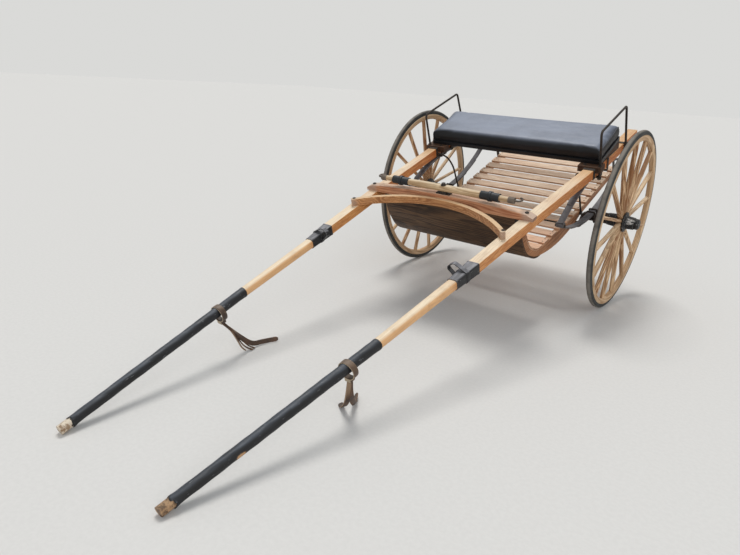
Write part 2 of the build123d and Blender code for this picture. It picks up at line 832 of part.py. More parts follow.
with BuildPart() as cushion:
    with BuildSketch(seat_plane.offset(seat_board_thick + soft_gap)):
        with Locations((0, seat_depth / 2)):
            RectangleRounded(2 * seat_half_width, seat_depth, 25)
    extrude(amount=cushion_thick)
    fillet(cushion.edges().group_by(Axis(seat_plane.origin, seat_plane.z_dir))[-1], cushion_round)
save(cushion.part, "seat_cushion")

block_rear_top = seat_base + seat_slope * (block_rear_u - seat_front_u)
with BuildPart() as seat_blocks:
    for name, s in sides:
        with BuildSketch(side_plane(s * block_x[0])):
            with BuildLine():
                Polyline(
                    (block_front_u, 0),
                    (block_rear_u, 0),
                    (block_rear_u, block_rear_top),
                    (seat_front_u, seat_base),
                    (block_front_u, seat_base),
                    close=True,
                )
            make_face()
        extrude(amount=s * (block_x[1] - block_x[0]))
        with BuildSketch(deck_plane(0)):
            with Locations((s * arm_rail_x, arm_front_u)):
                Circle(arm_rail_radius + bolt_gap)
            with Locations((s * clamp_bolt_x(arm_front_u), arm_front_u)):
                Circle(clamp_bolt_radius + bolt_gap)
        extrude(amount=2 * seat_base, mode=Mode.SUBTRACT)
        add(shafts[name], mode=Mode.SUBTRACT)
save(seat_blocks.part, "seat_blocks")

for name, s in sides:
    with BuildPart() as riser:
        with BuildSketch(side_plane(s * shaft_x(0))):
            with BuildLine():
                Polyline(
                    (block_rear_u, shaft_depth / 2),
                    (seat_front_u + seat_run, shaft_depth / 2),
                    (seat_front_u + seat_run, seat_base + seat_slope * seat_run),
                    (block_rear_u, block_rear_top),
                    close=True,
                )
            make_face()
        extrude(amount=shaft_width / 2, both=True)
        add(shaft_clips.part, mode=Mode.SUBTRACT)
    save(riser.part, f"seat_riser_{name}")

# Arm rails: a bent rod at each end of the seat, its feet clamped to the shaft
# (foot u, height of the clamp's top)
clamp_rows = ((arm_front_u, seat_base), (arm_rear_u, shaft_depth / 2 + clamp_thick))
clamp_base = -shaft_depth / 2 - clamp_thick
rod_end = clamp_base - nut_thick - 3
for name, s in sides:
    with BuildPart() as arm_rail:
        with BuildLine(side_plane(s * arm_rail_x)) as rail_line:
            FilletPolyline(
                (arm_front_u, rod_end),
                (arm_front_u, seat_base + 12),
                *arm_knees,
                (arm_rear_u, seat_base + 12),
                (arm_rear_u, rod_end),
                radius=arm_bend,
            )
        with BuildSketch(Plane(origin=rail_line.line @ 0, z_dir=rail_line.line % 0)):
            Circle(arm_rail_radius)
        sweep(path=rail_line.line)
        for u, clamp_top in clamp_rows:
            with BuildSketch(deck_plane(clamp_top)):
                with Locations((s * arm_rail_x, u)):
                    Circle(1.7 * arm_rail_radius)
            extrude(amount=4)
            with BuildSketch(deck_plane(clamp_base)):
                with Locations((s * arm_rail_x, u)):
                    RegularPolygon(1.8 * arm_rail_radius, 6)
            extrude(amount=-nut_thick)
    save(arm_rail.part, f"arm_rail_{name}")

# Arm rail clamps: a plate under the shaft at each foot, one over it at the
# rear foot, and a bolt through them on the shaft's inner side
with BuildPart() as clamps:
    for name, s in sides:
        for u, clamp_top in clamp_rows:
            bolt_x = clamp_bolt_x(u)
            plate_mid = s * (bolt_x - clamp_width / 2 + block_x[1]) / 2
            plate_long = block_x[1] - bolt_x + clamp_width / 2
            with BuildSketch(deck_plane(clamp_base)):
                with Locations((plate_mid, u)):
                    RectangleRounded(plate_long, clamp_width, 6)
                with Locations((s * arm_rail_x, u)):
                    Circle(arm_rail_radius + bolt_gap, mode=Mode.SUBTRACT)
            extrude(amount=clamp_thick)
            if u == arm_rear_u:
                with BuildSketch(deck_plane(shaft_depth / 2)):
                    with Locations((plate_mid, u)):
                        RectangleRounded(plate_long, clamp_width, 6)
                    with Locations((s * arm_rail_x, u)):
                        Circle(arm_rail_radius + bolt_gap, mode=Mode.SUBTRACT)
                extrude(amount=clamp_thick)
            with BuildSketch(deck_plane(clamp_base - nut_thick)):
                with Locations((s * bolt_x, u)):
                    Circle(clamp_bolt_radius)
            extrude(amount=clamp_top - clamp_base + nut_thick)
            with BuildSketch(deck_plane(clamp_top)):
                with Locations((s * bolt_x, u)):
                    Circle(1.9 * clamp_bolt_radius)
            extrude(amount=clamp_bolt_radius)
            with BuildSketch(deck_plane(clamp_base)):
                with Locations((s * bolt_x, u)):
                    RegularPolygon(1.8 * clamp_bolt_radius, 6)
            extrude(amount=-nut_thick)
save(clamps.part, "arm_rail_clamps")

# Wheels: each lies on its own cambered arm
felloe_outer = wheel_radius - tyre_depth
felloe_inner = felloe_outer - felloe_depth
tread_centre = wheel_radius - tyre_width / 2
half_web = (spoke_width + 4) / 2
flange_face = half_web + hub_flange_thick
bore = axle_arm_radius + running_gap
for name, s in sides:
    hub_centre = wheel_centre[name] - arm_dir[name] * dish
    wheel = Plane(origin=hub_centre, x_dir=(0, 1, 0), z_dir=arm_dir[name])
    section = Plane(origin=hub_centre, x_dir=(0, 1, 0), z_dir=-wheel.y_dir)
    spin = Axis(hub_centre, arm_dir[name])

    with BuildPart() as tyre:
        with BuildSketch(section):
            with Locations((tread_centre, dish)):
                Circle(tyre_width / 2)
            with Locations(((felloe_outer + tread_centre) / 2, dish)):
                Rectangle(tread_centre - felloe_outer, tyre_width)
            with Locations(((felloe_inner + felloe_outer) / 2, dish)):
                Rectangle(felloe_depth, felloe_width + 10, mode=Mode.SUBTRACT)
        revolve(axis=spin)
    save(tyre.part, f"tyre_{name}")

    with BuildPart() as felloe:
        with BuildSketch(section):
            with BuildLine():
                Polyline(
                    (felloe_inner, dish - felloe_width / 2 + felloe_chamfer),
                    (felloe_inner, dish + felloe_width / 2 - felloe_chamfer),
                    (felloe_inner + felloe_chamfer, dish + felloe_width / 2),
                    (felloe_outer, dish + felloe_width / 2),
                    (felloe_outer, dish - felloe_width / 2),
                    (felloe_inner + felloe_chamfer, dish - felloe_width / 2),
                    close=True,
                )
            make_face()
        revolve(axis=spin)
    save(felloe.part, f"felloe_{name}")

    with BuildPart() as spokes:
        for i in range(spoke_count):
            turn = (i + 0.5) * 360 / spoke_count
            radial = wheel.x_dir.rotate(Axis((0, 0, 0), arm_dir[name]), turn)
            foot = hub_centre + radial * (hub_barrel_radius - 4)
            head = hub_centre + radial * (felloe_inner + 4) + arm_dir[name] * dish
            along = (head - foot).normalized()
            with BuildSketch(Plane(origin=foot, x_dir=arm_dir[name], z_dir=along)):
                Ellipse(spoke_width / 2, spoke_thick / 2)
            with BuildSketch(Plane(origin=head, x_dir=arm_dir[name], z_dir=along)):
                Ellipse(spoke_head_width / 2, spoke_thick / 2)
            loft(ruled=True)
        with BuildSketch(section):
            with Locations(((hub_barrel_radius + hub_core_radius) / 2, 0)):
                Rectangle(hub_barrel_radius - hub_core_radius, 2 * half_web)
        revolve(axis=spin)
        add(felloe.part, mode=Mode.SUBTRACT)
    save(spokes.part, f"spokes_{name}")

    with BuildPart() as hub:
        with BuildSketch(section):
            with BuildLine():
                Polyline(
                    (bore, -hub_back_length),
                    (hub_nose_radius, -hub_back_length),
                    (hub_nose_radius + 4, -flange_face - 8),
                    (hub_flange_radius, -flange_face),
                    (hub_flange_radius, -half_web),
                    (hub_core_radius, -half_web),
                    (hub_core_radius, half_web),
                    (hub_flange_radius, half_web),
                    (hub_flange_radius, flange_face),
                    (hub_nose_radius + 4, flange_face + 8),
                    (hub_nose_radius, hub_nose_length),
                    (bore, hub_nose_length),
                    close=True,
                )
            make_face()
        revolve(axis=spin)
    save(hub.part, f"hub_{name}")

    with BuildPart() as cap:
        with BuildSketch(section):
            with BuildLine():
                Polyline(
                    (cap_radius - 6, hub_nose_length),
                    (cap_radius, hub_nose_length),
                    (cap_radius, hub_nose_length + cap_length - 8),
                    (cap_radius - 8, hub_nose_length + cap_length),
                    (0, hub_nose_length + cap_length),
                    (0, hub_nose_length + cap_length - cap_wall),
                    (cap_radius - 6, hub_nose_length + cap_length - cap_wall),
                    close=True,
                )
            make_face()
        revolve(axis=spin)
    save(cap.part, f"hub_cap_{name}")
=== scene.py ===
import json
from math import atan2, cos, hypot, pi, radians, sin

import bmesh
import bpy
from mathutils import Matrix, Vector
from mathutils.bvhtree import BVHTree


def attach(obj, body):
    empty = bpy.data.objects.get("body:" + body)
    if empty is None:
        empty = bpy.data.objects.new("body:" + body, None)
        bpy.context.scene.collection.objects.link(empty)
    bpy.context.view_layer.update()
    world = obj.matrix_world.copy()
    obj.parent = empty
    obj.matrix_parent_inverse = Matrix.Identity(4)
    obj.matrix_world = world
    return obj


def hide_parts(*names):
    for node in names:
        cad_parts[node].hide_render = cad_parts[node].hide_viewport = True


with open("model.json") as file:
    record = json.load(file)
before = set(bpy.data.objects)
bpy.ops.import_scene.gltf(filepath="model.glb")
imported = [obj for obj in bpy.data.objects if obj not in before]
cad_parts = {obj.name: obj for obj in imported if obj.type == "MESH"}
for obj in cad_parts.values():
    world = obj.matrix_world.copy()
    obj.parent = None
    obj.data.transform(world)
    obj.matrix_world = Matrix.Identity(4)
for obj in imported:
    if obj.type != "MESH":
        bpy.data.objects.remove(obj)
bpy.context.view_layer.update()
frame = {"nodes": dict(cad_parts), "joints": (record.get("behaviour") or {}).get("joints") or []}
nodes = frame["nodes"]
joints = {j["name"]: j for j in frame["joints"]}
sides = (("left", 1), ("right", -1))
side_sign = dict(sides)
axle_x, axle_y, axle_z = joints["wheel_spin_left"]["pos_m"]

# The deck: the tilted plane of the shafts, found from the singletree's pivot.
# u runs rearward along it and h upward from it, in metres.
BAR_U = -0.884
TREE_H = 0.116
deck_up = Vector(joints["singletree_swing"]["axis"])
deck_back = Vector((0, deck_up.z, -deck_up.y))
deck_origin = Vector(joints["singletree_swing"]["pos_m"]) - BAR_U * deck_back - TREE_H * deck_up
deck_pitch = atan2(deck_back.z, deck_back.y)


def deck(x, u, h):
    return deck_origin + Vector((x, 0, 0)) + u * deck_back + h * deck_up


# Camera at the photograph's viewpoint, placed from the axle
CAMERA_YAW = radians(37.2303)
CAMERA_PITCH = radians(18.6597)
CAMERA_ROLL = radians(3.5503)
CAMERA_X = 1.66679
CAMERA_BEFORE_AXLE = 3.79942
CAMERA_HEIGHT = 1.30186
camera_data = bpy.data.cameras.new("camera")
camera_data.sensor_width = 36.0
camera_data.sensor_fit = "HORIZONTAL"
camera_data.lens = 28.367
camera = bpy.data.objects.new("camera", camera_data)
bpy.context.scene.collection.objects.link(camera)
look = Vector((
    -sin(CAMERA_YAW) * cos(CAMERA_PITCH),
    cos(CAMERA_YAW) * cos(CAMERA_PITCH),
    -sin(CAMERA_PITCH),
))
level = look.cross(Vector((0, 0, 1))).normalized()
upright = level.cross(look)
right = cos(CAMERA_ROLL) * level + sin(CAMERA_ROLL) * upright
upward = cos(CAMERA_ROLL) * upright - sin(CAMERA_ROLL) * level
camera.matrix_world = Matrix((
    (right.x, upward.x, -look.x, CAMERA_X),
    (right.y, upward.y, -look.y, axle_y - CAMERA_BEFORE_AXLE),
    (right.z, upward.z, -look.z, CAMERA_HEIGHT),
    (0, 0, 0, 1),
))
bpy.context.scene.camera = camera


def mesh_object(name, points, faces, smooth=True):
    mesh = bpy.data.meshes.new(name)
    mesh.from_pydata([tuple(p) for p in points], [], faces)
    mesh.update()
    if smooth:
        mesh.polygons.foreach_set("use_smooth", [True] * len(mesh.polygons))
    piece = bpy.data.objects.new(name, mesh)
    bpy.context.scene.collection.objects.link(piece)
    return piece


def skin(rings):
    # (points, faces) over rings of equal length in order, capped at both ends
    count = len(rings[0])
    points = [p for ring in rings for p in ring]
    faces = []
    for i in range(len(rings) - 1):
        a, b = i * count, (i + 1) * count
        for j in range(count):
            k = (j + 1) % count
            faces.append((a + j, a + k, b + k, b + j))
    end = (len(rings) - 1) * count
    faces.append(tuple(range(count))[::-1])
    faces.append(tuple(end + j for j in range(count)))
    return points, faces


def joined(parts):
    # several (points, faces) as one mesh's
    points, faces = [], []
    for more_points, more_faces in parts:
        faces += [tuple(len(points) + k for k in f) for f in more_faces]
        points += more_points
    return points, faces


def direction(path, i):
    return (path[min(i + 1, len(path) - 1)] - path[max(i - 1, 0)]).normalized()


def smooth_line(points):
    # the points along a NURBS spline with these control points
    data = bpy.data.curves.new("line", "CURVE")
    data.dimensions = "3D"
    data.resolution_u = 24
    spline = data.splines.new("NURBS")
    spline.points.add(len(points) - 1)
    for point, place in zip(spline.points, points):
        point.co = (*place, 1)
    spline.order_u = 3
    spline.use_endpoint_u = True
    line = bpy.data.objects.new("line", data)
    bpy.context.scene.collection.objects.link(line)
    bpy.context.view_layer.update()
    mesh = bpy.data.meshes.new_from_object(line)
    path = [v.co.copy() for v in mesh.vertices]
    bpy.data.objects.remove(line)
    bpy.data.meshes.remove(mesh)
    return path


# Tug tails: loose straps of two or three layers, on the routes of their CAD solids
STRAP_WIDTH = 0.024
STRAP_THICK = 0.004
STRAP_SECTION = (
    (-1, -0.45), (-0.93, -0.9), (-0.5, -1), (0, -1), (0.5, -1), (0.93, -0.9), (1, -0.45),
    (1, 0.45), (0.93, 0.9), (0.5, 1), (0, 1), (-0.5, 1), (-0.93, 0.9), (-1, 0.45),
)
# the foot of the ring's sewn block on the deck, and how far the strap starts above it
FOOT_X, FOOT_U, FOOT_H = 0.393253, -2.228, -0.086455
FOOT_RISE = 0.006
GROUND_GAP = 0.0022
# the share of its length over which a strap turns on its edge, and how its tip narrows
TURNING_SHARE = 0.6
TIP_SHARE = 0.55
TIP_LENGTH = 0.022
# routes: (along, share of the drop, aside)
LEFT_ROUTE = ((0.0, 1.0, 0.0), (0.016, 0.58, 0.0), (0.100, 0.03, 0.006), (0.150, 0.0, 0.010), (0.200, 0.0, 0.004))
LEFT_BRANCH = (
    (0.004, 0.92, 0.0), (0.016, 0.50, -0.006), (0.060, 0.14, -0.026), (0.095, 0.01, -0.044), (0.130, 0.0, -0.056),
)
RIGHT_ROUTE = (
    (0.0, 1.0, 0.0), (0.042, 0.76, 0.0), (0.100, 0.40, 0.0), (0.170, 0.04, -0.004),
    (0.240, 0.0, -0.014), (0.320, 0.0, 0.008),
)
# (heading, twist at the end in degrees, whole length, route,
# layers as (lift off the route, share of the length))
TUG_STRAPS = {
    "left": ((-85.0, 140.0), 50.0, 0.300, LEFT_ROUTE, ((0.0, 1.0), (0.0048, 0.80))),
    "right": ((35.0, 330.0), -62.0, 0.391, RIGHT_ROUTE, ((0.0, 1.0), (0.0047, 0.84), (0.0094, 0.55))),
}
# shorter straps beside the tails: one spread out at the left, three torn strips at the right
# (heading, twist at the end in degrees, lift, share of the length, route, width)
SHORT_STRAPS = {
    "left": (((-85.0, 140.0), 22.0, 0.0050, 0.97, LEFT_BRANCH, STRAP_WIDTH),),
    "right": (
        ((20.0, 330.0), -38.0, 0.0030, 1.0, (
            (0.004, 0.95, 0.002), (0.036, 0.80, 0.006), (0.078, 0.46, 0.010), (0.122, 0.08, 0.017),
            (0.160, 0.0, 0.026)), 0.009),
        ((20.0, 330.0), 30.0, -0.0050, 0.93, (
            (0.002, 0.92, 0.004), (0.030, 0.74, 0.011), (0.066, 0.42, 0.018), (0.098, 0.05, 0.024),
            (0.122, 0.0, 0.040)), 0.008),
        ((50.0, 330.0), -20.0, 0.0070, 0.97, (
            (0.004, 0.98, -0.002), (0.044, 0.84, -0.003), (0.092, 0.52, -0.004), (0.140, 0.12, 0.004),
            (0.190, 0.0, 0.002)), 0.010),
    ),
}


def strap(side, heading, twist_end, lift, share, route, width=STRAP_WIDTH):
    # a flat strap that turns on its edge as it reaches the ground: its control
    # points, the path along them, and its (points, faces)
    foot = deck(side_sign[side] * FOOT_X, FOOT_U, FOOT_H)
    along = Vector((*heading, 0)).normalized()
    across = Vector((along.y, -along.x, 0))
    lying = GROUND_GAP + STRAP_THICK / 2 + abs(sin(radians(twist_end))) * width / 2
    drop = foot.z + FOOT_RISE - lying
    controls = [
        Vector((foot.x, foot.y, lying + low * drop)) + reach * along + aside * across
        for reach, low, aside in route
    ]
    path = smooth_line(controls)
    spacing = [0.0]
    for a, b in zip(path, path[1:]):
        spacing.append(spacing[-1] + (b - a).length)
    whole = spacing[-1]
    rings = []
    for i, point in enumerate(path):
        if spacing[i] > share * whole:
            break
        ahead = direction(path, i)
        gone = min(1.0, spacing[i] / (TURNING_SHARE * whole))
        turn = radians(twist_end) * gone * gone * (3 - 2 * gone)
        level = (across - across.dot(ahead) * ahead).normalized()
        over = ahead.cross(level).normalized()
        wide = cos(turn) * level - sin(turn) * over
        face = ahead.cross(wide).normalized()
        half = width / 2 * min(1.0, TIP_SHARE + (share * whole - spacing[i]) / TIP_LENGTH)
        rings.append([point + wide * half * x + face * (STRAP_THICK / 2 * y + lift) for x, y in STRAP_SECTION])
    return controls, path, skin(rings)


tails = {}
for name, strips in SHORT_STRAPS.items():
    shorts = mesh_object(f"tug_strap_{name}_short", *joined(strap(name, *strip)[2] for strip in strips))
    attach(shorts, "root")
    tails[f"{name}_short"] = shorts

for name, (heading, twist_end, length, route, layers) in TUG_STRAPS.items():
    straps = [strap(name, heading, twist_end, lift, share, route) for lift, share in layers]
    tail = mesh_object(f"tug_strap_{name}", *joined(part[2] for part in straps))
    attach(tail, "root")
    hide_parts(f"tug_tail_{name}")
    tails[name] = tail


# Materials: colours are written as they look on screen, 0 to 255
def linear(*rgb):
    # the shader's linear value of a colour on screen
    out = []
    for value in rgb:
        v = value / 255
        out.append(v / 12.92 if v <= 0.04045 else ((v + 0.055) / 1.055) ** 2.4)
    return (*out, 1.0)


def darker(rgb, share):
    return [v * share for v in rgb]


class Shader:
    # builds one material's nodes; each method adds a node and gives its output
    def __init__(self, name):
        self.material = bpy.data.materials.new(name)
        self.material.use_nodes = True
        self.tree = self.material.node_tree
        self.tree.nodes.clear()
        self.coords = self.add("TexCoord")

    def add(self, kind, **settings):
        node = self.tree.nodes.new("ShaderNode" + kind)
        for key, value in settings.items():
            setattr(node, key, value)
        return node

    def put(self, socket, value):
        if isinstance(value, bpy.types.NodeSocket):
            self.tree.links.new(value, socket)
        elif value is not None:
            socket.default_value = value

    def math(self, operation, a, b=None, clamp=False):
        node = self.add("Math", operation=operation, use_clamp=clamp)
        self.put(node.inputs[0], a)
        self.put(node.inputs[1], b)
        return node.outputs[0]

    def times(self, a, b):
        return self.math("MULTIPLY", a, b)

    def plus(self, a, b, clamp=False):
        return self.math("ADD", a, b, clamp)

    def minus(self, a, b):
        return self.math("SUBTRACT", a, b)

    def vector(self, operation, a, b):
        node = self.add("VectorMath", operation=operation)
        self.put(node.inputs[0], a)
        self.put(node.inputs[1], b)
        return node.outputs[0]

    def mix(self, factor, a, b, blend="MIX"):
        node = self.add("Mix", data_type="RGBA", blend_type=blend, clamp_factor=True)
        self.put(node.inputs[0], factor)
        self.put(node.inputs[6], a)
        self.put(node.inputs[7], b)
        return node.outputs[2]

    def between(self, factor, dark, light):
        # a mix of two colours as they look on screen
        return self.mix(factor, linear(*dark), linear(*light))

    def noise(self, vector, scale, detail=3.0, rough=0.5):
        node = self.add("TexNoise")
        self.put(node.inputs["Vector"], vector)
        self.put(node.inputs["Scale"], scale)
        self.put(node.inputs["Detail"], detail)
        self.put(node.inputs["Roughness"], rough)
        return node.outputs[0]

    def step(self, value, low, high, to_low=0.0, to_high=1.0):
        node = self.add("MapRange", interpolation_type="SMOOTHSTEP", clamp=True)
        for socket, v in zip(node.inputs, (value, low, high, to_low, to_high)):
            self.put(socket, v)
        return node.outputs[0]

    def split(self, vector):
        node = self.add("SeparateXYZ")
        self.put(node.inputs[0], vector)
        return node.outputs

    def join(self, x, y, z):
        node = self.add("CombineXYZ")
        for socket, value in zip(node.inputs, (x, y, z)):
            self.put(socket, value)
        return node.outputs[0]

    def bump(self, height, strength, distance, normal=None):
        node = self.add("Bump")
        self.put(node.inputs["Height"], height)
        self.put(node.inputs["Strength"], strength)
        self.put(node.inputs["Distance"], distance)
        self.put(node.inputs["Normal"], normal)
        return node.outputs[0]

    def place(self):
        return self.coords.outputs["Object"]

    def facing(self):
        # how far the surface faces up, in the piece's own frame
        return self.split(self.coords.outputs["Normal"])[2]

    def deck_place(self):
        # (x, u, h) in the deck's frame
        node = self.add("Mapping", vector_type="POINT")
        self.put(node.inputs["Vector"], self.vector("SUBTRACT", self.place(), tuple(deck_origin)))
        self.put(node.inputs["Rotation"], (-deck_pitch, 0, 0))
        return node.outputs[0]

    def deck_facing(self):
        # the surface's direction as (x, u, h) in the deck's frame
        node = self.add("Mapping", vector_type="VECTOR")
        self.put(node.inputs["Vector"], self.coords.outputs["Normal"])
        self.put(node.inputs["Rotation"], (-deck_pitch, 0, 0))
        return self.split(node.outputs[0])

    def edges(self, radius):
        # 1 on sharp edges, 0 on flats
        bevel = self.add("Bevel", samples=4)
        self.put(bevel.inputs["Radius"], radius)
        plain = self.add("NewGeometry")
        dot = self.add("VectorMath", operation="DOT_PRODUCT")
        self.put(dot.inputs[0], bevel.outputs[0])
        self.put(dot.inputs[1], plain.outputs["Normal"])
        return self.step(dot.outputs["Value"], 0.999, 0.93)

    def spot(self, place, at, reach):
        # the distance from a spot, which is 1 at its reach
        length = self.add("VectorMath", operation="LENGTH")
        self.put(length.inputs[0], self.vector("DIVIDE", self.vector("SUBTRACT", place, at), reach))
        return length.outputs["Value"]

    def cells(self, scale):
        # the fine pebbling of leather and vinyl
        voronoi = self.add("TexVoronoi", feature="SMOOTH_F1")
        self.put(voronoi.inputs["Vector"], self.place())
        self.put(voronoi.inputs["Scale"], scale)
        return voronoi.outputs[0]

    def grained(self, across, along, back, scale):
        # a place drawn out along the grain; scale: (across it, along it)
        return self.join(self.times(across, scale[0]), self.times(along, scale[1]), self.times(back, scale[0]))

    def finish(self, colour, roughness, normal, metallic=0.0, **constants):
        shader = self.add("BsdfPrincipled")
        self.put(shader.inputs["Base Color"], colour)
        self.put(shader.inputs["Roughness"], roughness)
        self.put(shader.inputs["Normal"], normal)
        self.put(shader.inputs["Metallic"], metallic)
        for key, value in constants.items():
            shader.inputs[key.replace("_", " ")].default_value = value
        output = self.add("OutputMaterial")
        self.tree.links.new(shader.outputs[0], output.inputs[0])
        return self.material


def wheel_place(m, side):
    # (angle round the hub, distance from it, x), for a wheel's pieces
    hub = joints[f"wheel_spin_{side}"]["pos_m"]
    x, y, z = m.split(m.vector("SUBTRACT", m.place(), tuple(hub)))
    angle = m.math("ARCTAN2", z, y)
    reach = m.math("SQRT", m.plus(m.times(y, y), m.times(z, z)))
    return angle, reach, x


# where the poles turn paler, as u, and where they are bare past the sleeves; and their colours
POLE_PALE = (-1.50, -1.60)
POLE_BARE = (-2.965, -3.0)
POLE_FRONT = (240, 200, 150)
LEFT_TIP = ((84, 64, 46), (176, 142, 106))
RIGHT_TIP = ((136, 112, 88), (222, 210, 190))
# where the crossbar and the bow turn grey, from the cart's middle
BAR_ENDS = (0.452, 0.488)
BAR_GREY = ((120, 108, 98), (214, 202, 190))
END_GRAIN = (0.52, 0.46, 0.42, 1.0)
SPOKES = 16
# how strongly cracks, dirt and rubbed edges show
CRACKS_SHOWN = 0.75
DIRT_SHOWN = 0.175
RUBS_SHOWN = 0.35


def wood(
    name, dark, light, grain, pale=None, bleach_and_top_light=0.0, gloss=0.5, cracks=0.5,
    side="left", figure=0.25, pole=False, boards=0.0, ends=0.0, fade=None,
):
    # grain: "u" or "x" for straight pieces, "ring" for felloes, "ray" for spokes
    # ends: how grey a bar's two ends are; fade: (from u, to u, tint) along the cart
    m = Shader(name)
    if grain in ("u", "x"):
        x, u, h = m.split(m.deck_place())
        along, across, back = (u, x, h) if grain == "u" else (x, u, h)
    else:
        angle, reach, back = wheel_place(m, side)
        turn = m.times(angle, 0.5)
        if grain == "ring":
            along, across = turn, reach
        else:
            ray = m.math("FLOOR", m.times(angle, SPOKES / (2 * pi)))
            along, across = reach, m.plus(turn, m.times(ray, 0.37))
    wander = m.noise(m.join(across, m.times(along, 0.5), back), 5.0, 2.0)
    patch = m.noise(m.join(across, m.times(along, 0.35), back), 6.0, 3.0)
    across = m.plus(across, m.times(m.minus(wander, 0.5), 0.03))
    rings = m.noise(m.grained(across, along, back, (9.0, 0.7)), 1.6, 1.0, 0.4)
    rings = m.math("FRACT", m.times(rings, 14.0))
    rings = m.times(m.step(rings, 0.0, 0.75), m.step(rings, 1.0, 0.82))
    fibres = m.noise(m.grained(across, along, back, (30.0, 0.8)), 9.0, 6.0, 0.65)
    split = m.noise(m.grained(across, along, back, (26.0, 1.3)), 5.0, 3.0, 0.6)
    split = m.times(m.step(split, 0.66, 0.72), cracks)
    tone = m.plus(m.times(fibres, 1.0 - figure), m.times(rings, figure))
    tone = m.step(m.plus(tone, m.times(m.minus(patch, 0.5), 0.5)), 0.3, 0.85)
    if boards:
        # each board has its own tone
        own = m.noise(m.join(0.0, m.times(u, 19.0), 0.0), 1.0, 0.0)
        tone = m.plus(tone, m.times(m.minus(own, 0.5), boards), clamp=True)
    if grain == "ray":
        # each spoke has its own tone, spread wide so that it also stands in for the spokes' lit and shaded sides:
        # partly painted light and shade
        own = m.noise(m.join(m.times(ray, 7.3), 0.0, 0.0), 1.0, 0.0)
        tone = m.plus(tone, m.times(m.minus(own, 0.5), 1.1), clamp=True)
    colour = m.between(tone, dark, light)
    if pale:
        # upward faces turn paler: partly sun bleaching, partly painted top light; the worn mask only mottles the
        # amount
        top = m.step(m.facing(), 0.45, 0.92)
        worn = m.step(m.plus(m.times(patch, 0.6), m.times(fibres, 0.4)), 0.25, 0.65, 0.50, 1.0)
        amount = m.times(m.times(top, worn), bleach_and_top_light)
        if pole:
            # the poles' round front ends are paler all round
            fore = m.step(along, *POLE_PALE, 0.0, 0.55)
            colour = m.mix(fore, colour, linear(*POLE_FRONT))
            amount = m.times(amount, m.step(along, 0.2, -1.4, 0.88, 1.0))
        colour = m.mix(amount, colour, m.between(fibres, darker(pale, 0.80), pale))
    if fade:
        start, end, tint = fade
        colour = m.mix(m.step(u, start, end), colour, m.mix(1.0, colour, (*tint, 1.0), "MULTIPLY"))
    if ends:
        reach = m.plus(m.math("ABSOLUTE", x), m.times(m.minus(patch, 0.5), 0.10))
        colour = m.mix(m.times(m.step(reach, *BAR_ENDS), ends), colour, m.between(fibres, *BAR_GREY))
    if grain == "x" or pole:
        # the cut ends show darker end grain
        cut = m.step(m.math("ABSOLUTE", m.deck_facing()[1 if pole else 0]), 0.75, 0.92, 0.0, 0.85)
        colour = m.mix(cut, colour, m.mix(1.0, colour, END_GRAIN, "MULTIPLY"))
    rub = m.times(m.edges(0.004), m.step(patch, 0.4, 0.6, 0.25, 1.0))
    rubbed = [min(255, v * 1.18 + 16) for v in light]
    colour = m.mix(m.times(rub, RUBS_SHOWN), colour, linear(*rubbed))
    dirt = m.step(m.noise(m.place(), 14.0, 4.0, 0.6), 0.5, 0.75)
    colour = m.mix(m.times(dirt, DIRT_SHOWN), colour, linear(*darker(dark, 0.55)))
    colour = m.mix(m.times(split, CRACKS_SHOWN), colour, linear(*darker(dark, 0.35)))
    if pole:
        # bare and weathered past the sleeves
        bare = m.step(along, *POLE_BARE)
        blotch = m.noise(m.place(), 55.0, 4.0, 0.65)
        tip = m.mix(
            m.step(x, -0.1, 0.1),
            m.between(m.step(blotch, 0.38, 0.58), *RIGHT_TIP),
            m.between(m.step(blotch, 0.42, 0.66), *LEFT_TIP))
        colour = m.mix(m.times(bare, 0.92), colour, tip)
    rough = m.step(fibres, 0.3, 0.75, 0.92 - 0.5 * gloss, 0.72 - 0.5 * gloss)
    height = m.minus(m.plus(fibres, m.times(rings, 0.25)), m.times(split, 1.2))
    return m.finish(colour, rough, m.bump(height, 0.35, 0.0012), Specular_IOR_Level=0.35)


# where the left sleeve is worn through: (x, u, h) on the deck, its reach, and the wood and the lip
TEAR_AT = (0.362, -2.752, -0.026)
TEAR_REACH = (0.016, 0.022, 0.0085)
TEAR_WOOD = ((150, 104, 64), (214, 172, 128))
TEAR_LIP = (104, 84, 62)


